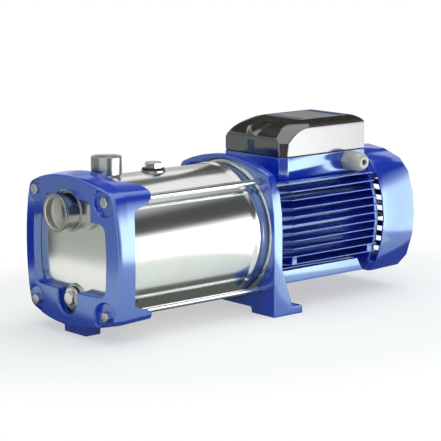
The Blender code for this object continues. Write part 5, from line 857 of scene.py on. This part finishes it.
# Rows of the hood: height, front setback, half width, corner along and across, rear setback.
HOOD_ROWS = np.array([
    (0.00, 0.000, 1.000, 0.070, 0.121, 0.000),
    (0.20, 0.001, 1.000, 0.104, 0.180, 0.000),
    (0.46, 0.036, 1.000, 0.125, 0.235, 0.000),
    (0.65, 0.084, 1.000, 0.150, 0.290, 0.002),
    (0.76, 0.128, 0.995, 0.190, 0.350, 0.004),
    (0.90, 0.215, 0.860, 0.130, 0.260, 0.012),
    (1.00, 0.330, 0.690, 0.060, 0.100, 0.030),
])

# Dark plastic, moulded in a polished tool: near black with a clear gloss. Its IOR and specular level are
# raised in the same way, and without the cards it looks mid grey.
hood_plastic = new_finish(
    "dark_moulded_hood_plastic", "#17150c", "#121009", 50 * MM, 1.2 * MM, 0.004 * MM, scatter=0.02,
    Roughness=0.14, IOR=2.0, Specular_IOR_Level=1.0)
box_base = softened_copy("terminal_box_base", "terminal_box_tray", 0.8 * MM)
box_base.data.materials.append(enamel)
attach(box_base, "frame")
frame["nodes"]["terminal_box_gasket"].material_slots[0].material = rubber


def cut_corners(rows, times):
    """Each pass swaps every inner row for two at a quarter of the way to its neighbours."""
    for _ in range(times):
        nearer = rows[:-1] * 0.75 + rows[1:] * 0.25
        farther = rows[:-1] * 0.25 + rows[1:] * 0.75
        middle = np.stack([nearer, farther], axis=1).reshape(-1, rows.shape[1])
        rows = np.concatenate([rows[:1], middle, rows[-1:]])
    return rows


def box_ring(front, rear, half, corner_x, corner_y, inset=0.0):
    """Level ring of the cover: a rectangle with bevelled corners."""
    front, rear, half = front + inset, rear - inset, half - inset
    rear_cut = BOX_REAR_CHAMFER
    half_ring = [(front, half - corner_y, 1.4 * MM), (front + corner_x, half, 1.4 * MM),
                 (rear - rear_cut, half, 0.8 * MM), (rear, half - rear_cut, 0.8 * MM)]
    return soft_corners(half_ring + [(x, -y, reach) for x, y, reach in reversed(half_ring)], True, 5)


def divided(ring):
    """The long sides get even steps, so that every ring has its points at the same places."""
    out = []
    for i, (first, last) in enumerate(zip(ring, np.roll(ring, -1, axis=0))):
        steps = SIDE_STEPS if i % 5 == 4 else 1
        share = np.arange(steps)[:, None] / steps
        out.append(first + (last - first) * share)
    return np.concatenate(out)


def hood_rings(inset):
    """Rings from the lower edge to the middle of the top, by the smoothed rows of the hood."""
    length = BOX_REAR_X - BOX_FRONT_X
    table = cut_corners(HOOD_ROWS, 3)
    rings = []
    levels = [(COVER_LOW_Z, HOOD_ROWS[0])] + [
        (COVER_STRAIGHT_Z + row[0] * (COVER_TOP_Z - COVER_STRAIGHT_Z), row) for row in table]
    for level, row in levels:
        _, setback, width, along, across, rear = row
        ring = box_ring(BOX_FRONT_X + setback * length, BOX_REAR_X - rear * length,
                        width * BOX_HALF_WIDTH, along * length, across * BOX_HALF_WIDTH, inset)
        flat = divided(ring)
        drop = inset if level > COVER_LOW_Z else 0
        rings.append(np.column_stack([flat, np.full(len(flat), level - drop)]))
    top = rings[-1]
    middle = top.mean(axis=0)
    for part in (0.9, 0.5, 0.0):
        rings.append(middle + (top - middle) * np.array([part, part, 1]))
    return np.stack(rings)


def with_bulge(grid):
    """Raises a round bulge with a dish in its middle on the front slope, by the distance in plan."""
    off = np.hypot(grid[..., 0] - BULGE_AT[0], grid[..., 1] - BULGE_AT[1])
    rise = BULGE_HEIGHT * smooth_step((BULGE_RADIUS - off) / (9 * MM))
    rise -= DISH_DEPTH * smooth_step((DISH_RADIUS - off) / (9 * MM))
    rise *= grid[..., 2] > COVER_STRAIGHT_Z
    return grid + rise[..., None] * np.array([-0.5, 0, 0.87])


hood_grid = np.concatenate([hood_rings(COVER_WALL)[::-1], with_bulge(hood_rings(0))])
hood = surface("terminal_box_hood", hood_grid)
smooth(hood, 30)
hood.data.materials.append(hood_plastic)
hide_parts("terminal_box_cover")
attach(hood, "frame")

# Label
# Thin satin aluminium plate stuck to the hood's top, left plain, with two plain enamelled bands.

LABEL_X = (352.0 * MM, 440.0 * MM)
LABEL_HALF_WIDTH = 36.0 * MM
LABEL_SUNK = 0.3 * MM
BAND_HALF_WIDTH = 32.0 * MM
BAND_X = ((356.0 * MM, 361.0 * MM), (427.0 * MM, 437.0 * MM))

# Aluminium foil, brushed satin: a soft grey sheen.
label_metal = new_finish(
    "satin_aluminium_label", "#c2c8c6", "#b8bebc", 30 * MM, 0.3 * MM, 0.001 * MM, (1, 0.05, 1), 0.03,
    Metallic=0.6, Roughness=0.38)
# Blue paint, printed on the foil: plain and half glossy.
label_paint = new_finish(
    "label_blue_band", "#1c3f9f", "#19398f", 10 * MM, 0.3 * MM, 0.001 * MM, scatter=0.03, Roughness=0.35)


def plate(name, x_range, half, low, high, reach):
    """Thin plate with rounded corners, closed above and below."""
    outline = soft_corners([(x_range[1], half, reach), (x_range[0], half, reach),
                            (x_range[0], -half, reach), (x_range[1], -half, reach)], True)
    return surface(name, blocked(outline, low, high, "Z"))


label = plate("plain_label", LABEL_X, LABEL_HALF_WIDTH,
              COVER_TOP_Z - LABEL_SUNK, COVER_TOP_Z + LABEL_SUNK, 3 * MM)
smooth(label)
label.data.materials.append(label_metal)
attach(label, "frame")
for number, x_range in enumerate(BAND_X, 1):
    band = plate("label_band_%d" % number, x_range, BAND_HALF_WIDTH,
                 COVER_TOP_Z, COVER_TOP_Z + 0.4 * MM, 0.6 * MM)
    smooth(band)
    band.data.materials.append(label_paint)
    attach(band, "frame")

# Cable gland
# Light grey polyamide: a hexagon body screwed into the box, and a domed cap nut with grip ribs.

GLAND_CENTRE = (416.6 * MM, 192.0 * MM)
GLAND_FLATS = 24.6 * MM
GLAND_HEX_Y = (-70.3 * MM, -62.3 * MM)
GLAND_NECK_Y = -80.3 * MM
GLAND_NECK = 9.2 * MM
GLAND_BORE = 6.5 * MM
GLAND_INSIDE_Y = -51.0 * MM
GLAND_THREAD = 9.8 * MM
NUT_Y = (-95.1 * MM, -70.6 * MM)
NUT_RADIUS = 13.6 * MM
NUT_FACE = 6.6 * MM
NUT_BORE = 9.5 * MM
NUT_RIBS = 18
NUT_RIB_END_Y = -80.0 * MM
CABLE_HOLE = 3.8 * MM

# Polyamide, moulded: light warm grey with a soft sheen. Its IOR is raised in the same way.
grey_plastic = new_finish(
    "light_grey_polyamide", "#b3b5ae", "#a9aca4", 20 * MM, 0.6 * MM, 0.006 * MM, Roughness=0.30, IOR=1.8)
low, high = GLAND_HEX_Y
corner = GLAND_FLATS / 2 / np.cos(np.pi / 6)
gland_profile = soft_corners([
    (GLAND_NECK_Y, GLAND_BORE, 0.3 * MM), (GLAND_NECK_Y, GLAND_NECK, 0.3 * MM), (low, GLAND_NECK, 0),
    (low, corner - 1.0 * MM, 0.3 * MM), (low + 0.8 * MM, corner, 0.3 * MM), (high, corner, 0),
    (high, GLAND_THREAD, 0), (GLAND_INSIDE_Y, GLAND_THREAD, 0.3 * MM),
    (GLAND_INSIDE_Y, GLAND_BORE, 0.3 * MM)], True)
gland = surface("gland_hex_body", spun(gland_profile, "Y", GLAND_CENTRE,
                                       hex_shape(GLAND_FLATS, low, high), 96), True)


def ribbed(along, radius, angle):
    """Grip ribs: on the nut's straight part the radius dips in narrow grooves, faded at both ends."""
    fade = smooth_step((along - NUT_RIB_END_Y) / (1.5 * MM)) * smooth_step((NUT_Y[1] - 1 * MM - along) / MM)
    groove = (0.5 - 0.5 * np.cos(NUT_RIBS * angle)) ** 3
    return along, radius - 0.7 * MM * groove * fade * (radius > 12 * MM)


tip, seat = NUT_Y
turn = np.linspace(0, np.pi / 2, 18)
dome_reach = NUT_RIB_END_Y - tip
dome = np.stack([NUT_RIB_END_Y - dome_reach * np.sin(turn),
                 NUT_FACE + (NUT_RADIUS - NUT_FACE) * np.cos(turn)], axis=-1)
side_rows = np.linspace(seat - 0.5 * MM, NUT_RIB_END_Y, 14)
nut_profile = np.concatenate([
    [(seat, NUT_BORE), (seat, NUT_RADIUS - 0.5 * MM)],
    np.stack([side_rows, 0 * side_rows + NUT_RADIUS], axis=-1), dome[1:],
    soft_corners([(tip, NUT_FACE, 0), (tip, CABLE_HOLE + 0.6 * MM, 0.3 * MM),
                  (tip + 0.8 * MM, CABLE_HOLE, 0.3 * MM),
                  (tip + 2.8 * MM, CABLE_HOLE, 0), (GLAND_NECK_Y - 0.3 * MM, NUT_BORE, 0)])])
nut = surface("gland_cap_nut", spun(nut_profile, "Y", GLAND_CENTRE, ribbed, 288), True)
for piece, node in ((gland, "gland_body"), (nut, "gland_nut")):
    smooth(piece, 28)
    piece.data.materials.append(grey_plastic)
    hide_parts(node)
    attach(piece, "frame")
frame["nodes"]["gland_seal"].material_slots[0].material = rubber

# Inner pieces
# Everything that the shells hide keeps its solid and takes the finish of its real material.

# Plastic, moulded: plain black, half dull.
black_plastic = new_finish(
    "black_moulded_plastic", "#1d1d1e", "#161617", 20 * MM, 0.8 * MM, 0.006 * MM, Roughness=0.45)
# Brass, cast: warm yellow with a grainy gloss.
brass = new_finish(
    "cast_brass", "#c79a4b", "#a97e38", 12 * MM, 0.9 * MM, 0.02 * MM, Metallic=1.0, Roughness=0.36)
# Glass-filled polymer, moulded: ivory and half dull.
stage_plastic = new_finish(
    "glass_filled_polymer", "#ddd9c8", "#cfcab6", 15 * MM, 0.5 * MM, 0.006 * MM, Roughness=0.5)
# Bearing steel, hardened and ground: a clear, cool mirror.
race_steel = new_finish(
    "ground_bearing_steel", "#c0c1c4", "#aeb0b4", 20 * MM, 0.3 * MM, 0.001 * MM,
    Metallic=1.0, Roughness=0.14)
# Electrical sheet, punched and stacked: mid grey with fine lines across the stack.
lamination = new_finish(
    "stacked_electrical_sheet", "#77797c", "#5f6164", 10 * MM, 0.6 * MM, 0.03 * MM, (4, 0.05, 0.05),
    Metallic=1.0, Roughness=0.42)
# Copper wire, varnished and wound: red-brown strands.
copper = new_finish(
    "varnished_copper_wire", "#b5622e", "#96491d", 8 * MM, 0.9 * MM, 0.06 * MM, (0.1, 1, 1),
    Metallic=0.8, Roughness=0.32)
# Polypropylene, moulded as a can: off-white and waxy.
can_plastic = new_finish(
    "white_plastic_can", "#dcdcd8", "#d0d0cb", 20 * MM, 0.6 * MM, 0.004 * MM, Roughness=0.42)
# Carbon, pressed and lapped: charcoal, half dull.
graphite = new_finish("lapped_carbon", "#2e2e30", "#252527", 10 * MM, 0.3 * MM, 0.002 * MM, Roughness=0.5)
# Alumina, fired and lapped: cream white with a clean gloss.
ceramic = new_finish("lapped_alumina", "#efece0", "#e4e0d2", 15 * MM, 0.3 * MM, 0.001 * MM, Roughness=0.22)
inner_finishes = {
    "stainless_steel": stainless, "zinc_plated_steel": zinc, "cast_brass": brass,
    "bearing_steel": race_steel,
    "laminated_steel": lamination, "enamelled_copper": copper, "stage_polymer": stage_plastic,
    "black_plastic": black_plastic, "capacitor_can": can_plastic, "black_rubber": rubber,
    "carbon_graphite": graphite, "alumina_ceramic": ceramic,
}
for part in frame["record"]["subparts"]:
    solid = frame["nodes"][part["node"]]
    if part["material_slot"] in inner_finishes and not solid.hide_render:
        solid.material_slots[0].material = inner_finishes[part["material_slot"]]

# Studio
# Two soft lamps for the paint, which gloss doesn't see, and glowing or dark cards that only gloss sees.
# The cards are set for the photograph's camera, and the brightest glows at more than four times white,
# so this is not plain studio light: without them the enamel and the hood look paler.

OBJECT_MIDDLE = np.array([0.24, 0.0, 0.12])


def new_card(name, corners):
    """Card that only the gloss sees, with an empty material; its node tree is handed back."""
    mesh = bpy.data.meshes.new(name)
    mesh.from_pydata(corners, [], [(0, 1, 2, 3)])
    piece = bpy.data.objects.new(name, mesh)
    bpy.context.scene.collection.objects.link(piece)
    material = bpy.data.materials.new(name + "_glow")
    material.use_nodes = True
    material.node_tree.nodes.clear()
    piece.data.materials.append(material)
    piece.visible_camera = False
    piece.visible_diffuse = False
    piece.visible_shadow = False
    return material.node_tree


def standing_card(name, about, heading, distance, width, rise, tint, levels, right_share=1.0):
    """Upright card that faces a point of the pump; its glow follows the levels from foot to top.

    Levels are pairs of height in metres and strength, joined by straight ramps. Past the middle of
    the card the glow eases to the given share of itself along X.
    """
    way = np.array([np.cos(np.radians(heading)), np.sin(np.radians(heading)), 0])
    side = np.array([-way[1], way[0], 0])
    foot = np.array([*about, rise[0]]) + way * distance
    height = rise[1] - rise[0]
    points = [foot - side * width / 2, foot + side * width / 2]
    points += [point + (0, 0, height) for point in reversed(points)]
    tree = new_card(name, [point.tolist() for point in points])
    place = add_node(tree, "ShaderNodeTexCoord").outputs["Object"]
    spot = add_node(tree, "ShaderNodeSeparateXYZ", {"Vector": place})
    share = add_node(tree, "ShaderNodeMapRange", {"Value": spot.outputs["Z"], "From Min": rise[0],
                                                  "From Max": rise[1]})
    most = max(strength for _, strength in levels)
    ramp = add_node(tree, "ShaderNodeValToRGB", {"Fac": share.outputs[0]})
    stops = ramp.color_ramp.elements
    while len(stops) < len(levels):
        stops.new(0.5)
    for stop, (level, strength) in zip(stops, levels):
        stop.position = (level - rise[0]) / height
        stop.color = (*[strength / most] * 3, 1)
    ease = add_node(tree, "ShaderNodeMapRange", {"Value": spot.outputs["X"], "From Min": foot[0] + 0.02,
                                                 "From Max": foot[0] + 0.12, "To Min": most,
                                                 "To Max": most * right_share})
    glow = add_node(tree, "ShaderNodeMath", {0: ramp.outputs["Color"], 1: ease.outputs[0]},
                    operation="MULTIPLY")
    light = add_node(tree, "ShaderNodeEmission", {"Color": hex_colour(tint), "Strength": glow.outputs[0]})
    add_node(tree, "ShaderNodeOutputMaterial", {"Surface": light.outputs["Emission"]})


standing_card("tall_softbox", (0.24, 0.0), -48.3, 0.45, 1.1, (0.0, 1.1), "#fbfdff", [
    (0.0, 4.3), (0.21, 4.3), (0.265, 1.2), (0.33, 0.07), (0.56, 0.08), (0.70, 0.42), (0.9, 1.0)], 0.72)
standing_card("grey_wall", (-0.02, 0.0), 147.0, 0.42, 0.52, (0.0, 0.6), "#e2ece4", [
    (0.0, 0.56), (0.12, 0.54), (0.3, 0.42), (0.6, 0.3)])
standing_card("grey_back_wall", (0.24, 0.0), 118.0, 0.85, 1.0, (0.0, 0.7), "#e2ece4", [
    (0.0, 0.6), (0.3, 0.5), (0.7, 0.3)])
standing_card("flag_behind", (-0.045, 0.0), 90.0, 0.42, 0.35, (0.0, 0.1), "#e0e4e0", [
    (0.0, 0.02), (0.1, 0.04)])
standing_card("flag_by_hood", (0.58, 0.0), 90.0, 0.16, 0.44, (0.25, 0.55), "#e4e2d4", [
    (0.25, 0.14), (0.35, 0.1), (0.55, 0.1)])
standing_card("flag_by_lobe", (0.32, 0.0), 90.0, 0.16, 0.30, (0.40, 0.75), "#dfe8f0", [
    (0.4, 0.2), (0.75, 0.15)])
standing_card("flag_over_hood", (0.22, 0.0), 90.0, 0.55, 0.62, (0.6, 1.25), "#e4e2d4", [
    (0.6, 0.1), (1.25, 0.16)])
standing_card("flag_far", (0.24, 0.0), 51.0, 1.6, 0.62, (0.0, 0.95), "#e0e4e0", [(0.0, 0.75), (0.9, 0.7)])
standing_card("flag_front", (0.24, 0.0), -116.0, 0.9, 0.5, (0.0, 0.6), "#e0e4dc", [(0.0, 0.16), (0.6, 0.2)])


def lying_card(name, x_range, y_range, strength, level=0.3 * MM):
    """Level card, under the pump or over it, which only the gloss sees."""
    tree = new_card(name, [(x_range[0], y_range[0], level), (x_range[1], y_range[0], level),
                           (x_range[1], y_range[1], level), (x_range[0], y_range[1], level)])
    light = add_node(tree, "ShaderNodeEmission", {"Color": hex_colour("#dfe4da"), "Strength": strength})
    add_node(tree, "ShaderNodeOutputMaterial", {"Surface": light.outputs["Emission"]})


lying_card("floor_flag", (-0.12, 0.75), (-0.105, 0.35), 0.16)
lying_card("floor_glow", (0.33, 0.60), (-0.36, -0.17), 2.0)
lying_card("ceiling_flag", (1.02, 1.9), (-0.6, 0.6), 0.15, 1.0)


def soft_lamp(name, direction, distance, size, power):
    """Square area lamp that faces the object from a direction: polar angle first, then heading."""
    data = bpy.data.lights.new(name, "AREA")
    data.shape = "SQUARE"
    data.size = size
    data.energy = power
    piece = bpy.data.objects.new(name, data)
    way = np.array(direction, float) / np.linalg.norm(direction)
    piece.location = OBJECT_MIDDLE + way * distance
    piece.rotation_euler = (np.arccos(way[2]), 0.0, np.arctan2(way[1], way[0]) + np.pi / 2)
    piece.visible_glossy = False
    bpy.context.scene.collection.objects.link(piece)


soft_lamp("key_lamp", (0.2, -0.05, 1.0), 1.7, 1.9, 20)
soft_lamp("fill_lamp", (-0.5, -0.8, 0.5), 1.8, 1.2, 6)

# Floor and surround
# Matt white paper that catches the pump's shadow close by and runs out to pure white, under a white sky.

FLOOR_HALF = 6.0
PAPER_NEAR = 0.20
PAPER_FAR = 0.46
PAPER_GLOW = 0.5
PAPER_MIDDLE = 0.24
PAPER_SQUEEZE = 0.75
SKY_FOR_PAINT = 0.45

floor_mesh = bpy.data.meshes.new("studio_floor")
floor_corners = [(-FLOOR_HALF, -FLOOR_HALF, 0), (FLOOR_HALF, -FLOOR_HALF, 0),
                 (FLOOR_HALF, FLOOR_HALF, 0), (-FLOOR_HALF, FLOOR_HALF, 0)]
floor_mesh.from_pydata(floor_corners, [], [(0, 1, 2, 3)])
floor = bpy.data.objects.new("studio_floor", floor_mesh)
bpy.context.scene.collection.objects.link(floor)
floor_paint = bpy.data.materials.new("white_studio_paper")
floor_paint.use_nodes = True
tree = floor_paint.node_tree
shader = tree.nodes["Principled BSDF"]
shader.inputs["Base Color"].default_value = hex_colour("#eff7f3")
shader.inputs["Roughness"].default_value = 0.9
shader.inputs["Specular IOR Level"].default_value = 0.0
path = add_node(tree, "ShaderNodeLightPath")
seen = add_node(tree, "ShaderNodeMath", {0: path.outputs["Is Camera Ray"], 1: path.outputs["Is Glossy Ray"]},
                operation="MAXIMUM")
white = add_node(tree, "ShaderNodeEmission", {"Color": hex_colour("#ffffff"), "Strength": 1.0})
place = add_node(tree, "ShaderNodeTexCoord").outputs["Object"]
flat = add_node(tree, "ShaderNodeMapping", {
    "Vector": place, "Location": (-PAPER_MIDDLE * PAPER_SQUEEZE, 0, 0), "Scale": (PAPER_SQUEEZE, 1, 1)})
off = add_node(tree, "ShaderNodeVectorMath", {0: flat.outputs["Vector"]}, operation="LENGTH")
far = add_node(tree, "ShaderNodeMapRange", {"Value": off.outputs["Value"], "From Min": PAPER_NEAR,
                                            "From Max": PAPER_FAR}, interpolation_type="SMOOTHSTEP")
close = add_node(tree, "ShaderNodeMath", {0: path.outputs["Is Camera Ray"], 1: PAPER_GLOW},
                 operation="MULTIPLY")
away = add_node(tree, "ShaderNodeMath", {0: far.outputs["Result"], 1: seen.outputs[0]}, operation="MULTIPLY")
share = add_node(tree, "ShaderNodeMath", {0: close.outputs[0], 1: away.outputs[0]}, operation="MAXIMUM")
blend = add_node(tree, "ShaderNodeMixShader", {
    0: share.outputs[0], 1: shader.outputs[0], 2: white.outputs[0]})
output = next(item for item in tree.nodes if item.type == "OUTPUT_MATERIAL")
tree.links.new(blend.outputs[0], output.inputs["Surface"])
floor.data.materials.append(floor_paint)

world = bpy.data.worlds.new("white_surround")
world.use_nodes = True
bpy.context.scene.world = world
tree = world.node_tree
back = next(item for item in tree.nodes if item.type == "BACKGROUND")
back.inputs["Color"].default_value = hex_colour("#ffffff")
path = add_node(tree, "ShaderNodeLightPath")
direct = add_node(tree, "ShaderNodeMath", {
    0: path.outputs["Is Camera Ray"], 1: path.outputs["Is Glossy Ray"]}, operation="MAXIMUM")
clear = add_node(tree, "ShaderNodeMath", {0: direct.outputs[0], 1: path.outputs["Is Transmission Ray"]},
                 operation="MAXIMUM")
sky = add_node(tree, "ShaderNodeMapRange", {
    "Value": clear.outputs[0], "To Min": SKY_FOR_PAINT, "To Max": 1.0})
tree.links.new(sky.outputs["Result"], back.inputs["Strength"])

# Camera
# Long lens from the pump's suction side, at the height and angle of the photograph.

CAMERA_AT = (-1.4573, -1.9404, 0.5754)
CAMERA_AZIMUTH = -41.115
CAMERA_ELEVATION = 10.047
LENS = 157.0

camera_data = bpy.data.cameras.new("photo_camera")
camera_data.lens = LENS
camera_data.sensor_width = 36.0
camera_data.clip_start = 0.1
camera_data.clip_end = 20.0
camera = bpy.data.objects.new("photo_camera", camera_data)
camera.location = CAMERA_AT
camera.rotation_euler = (np.radians(90 - CAMERA_ELEVATION), 0.0, np.radians(CAMERA_AZIMUTH))
bpy.context.scene.collection.objects.link(camera)
bpy.context.scene.camera = camera
bpy.context.scene.view_settings.view_transform = "Standard"
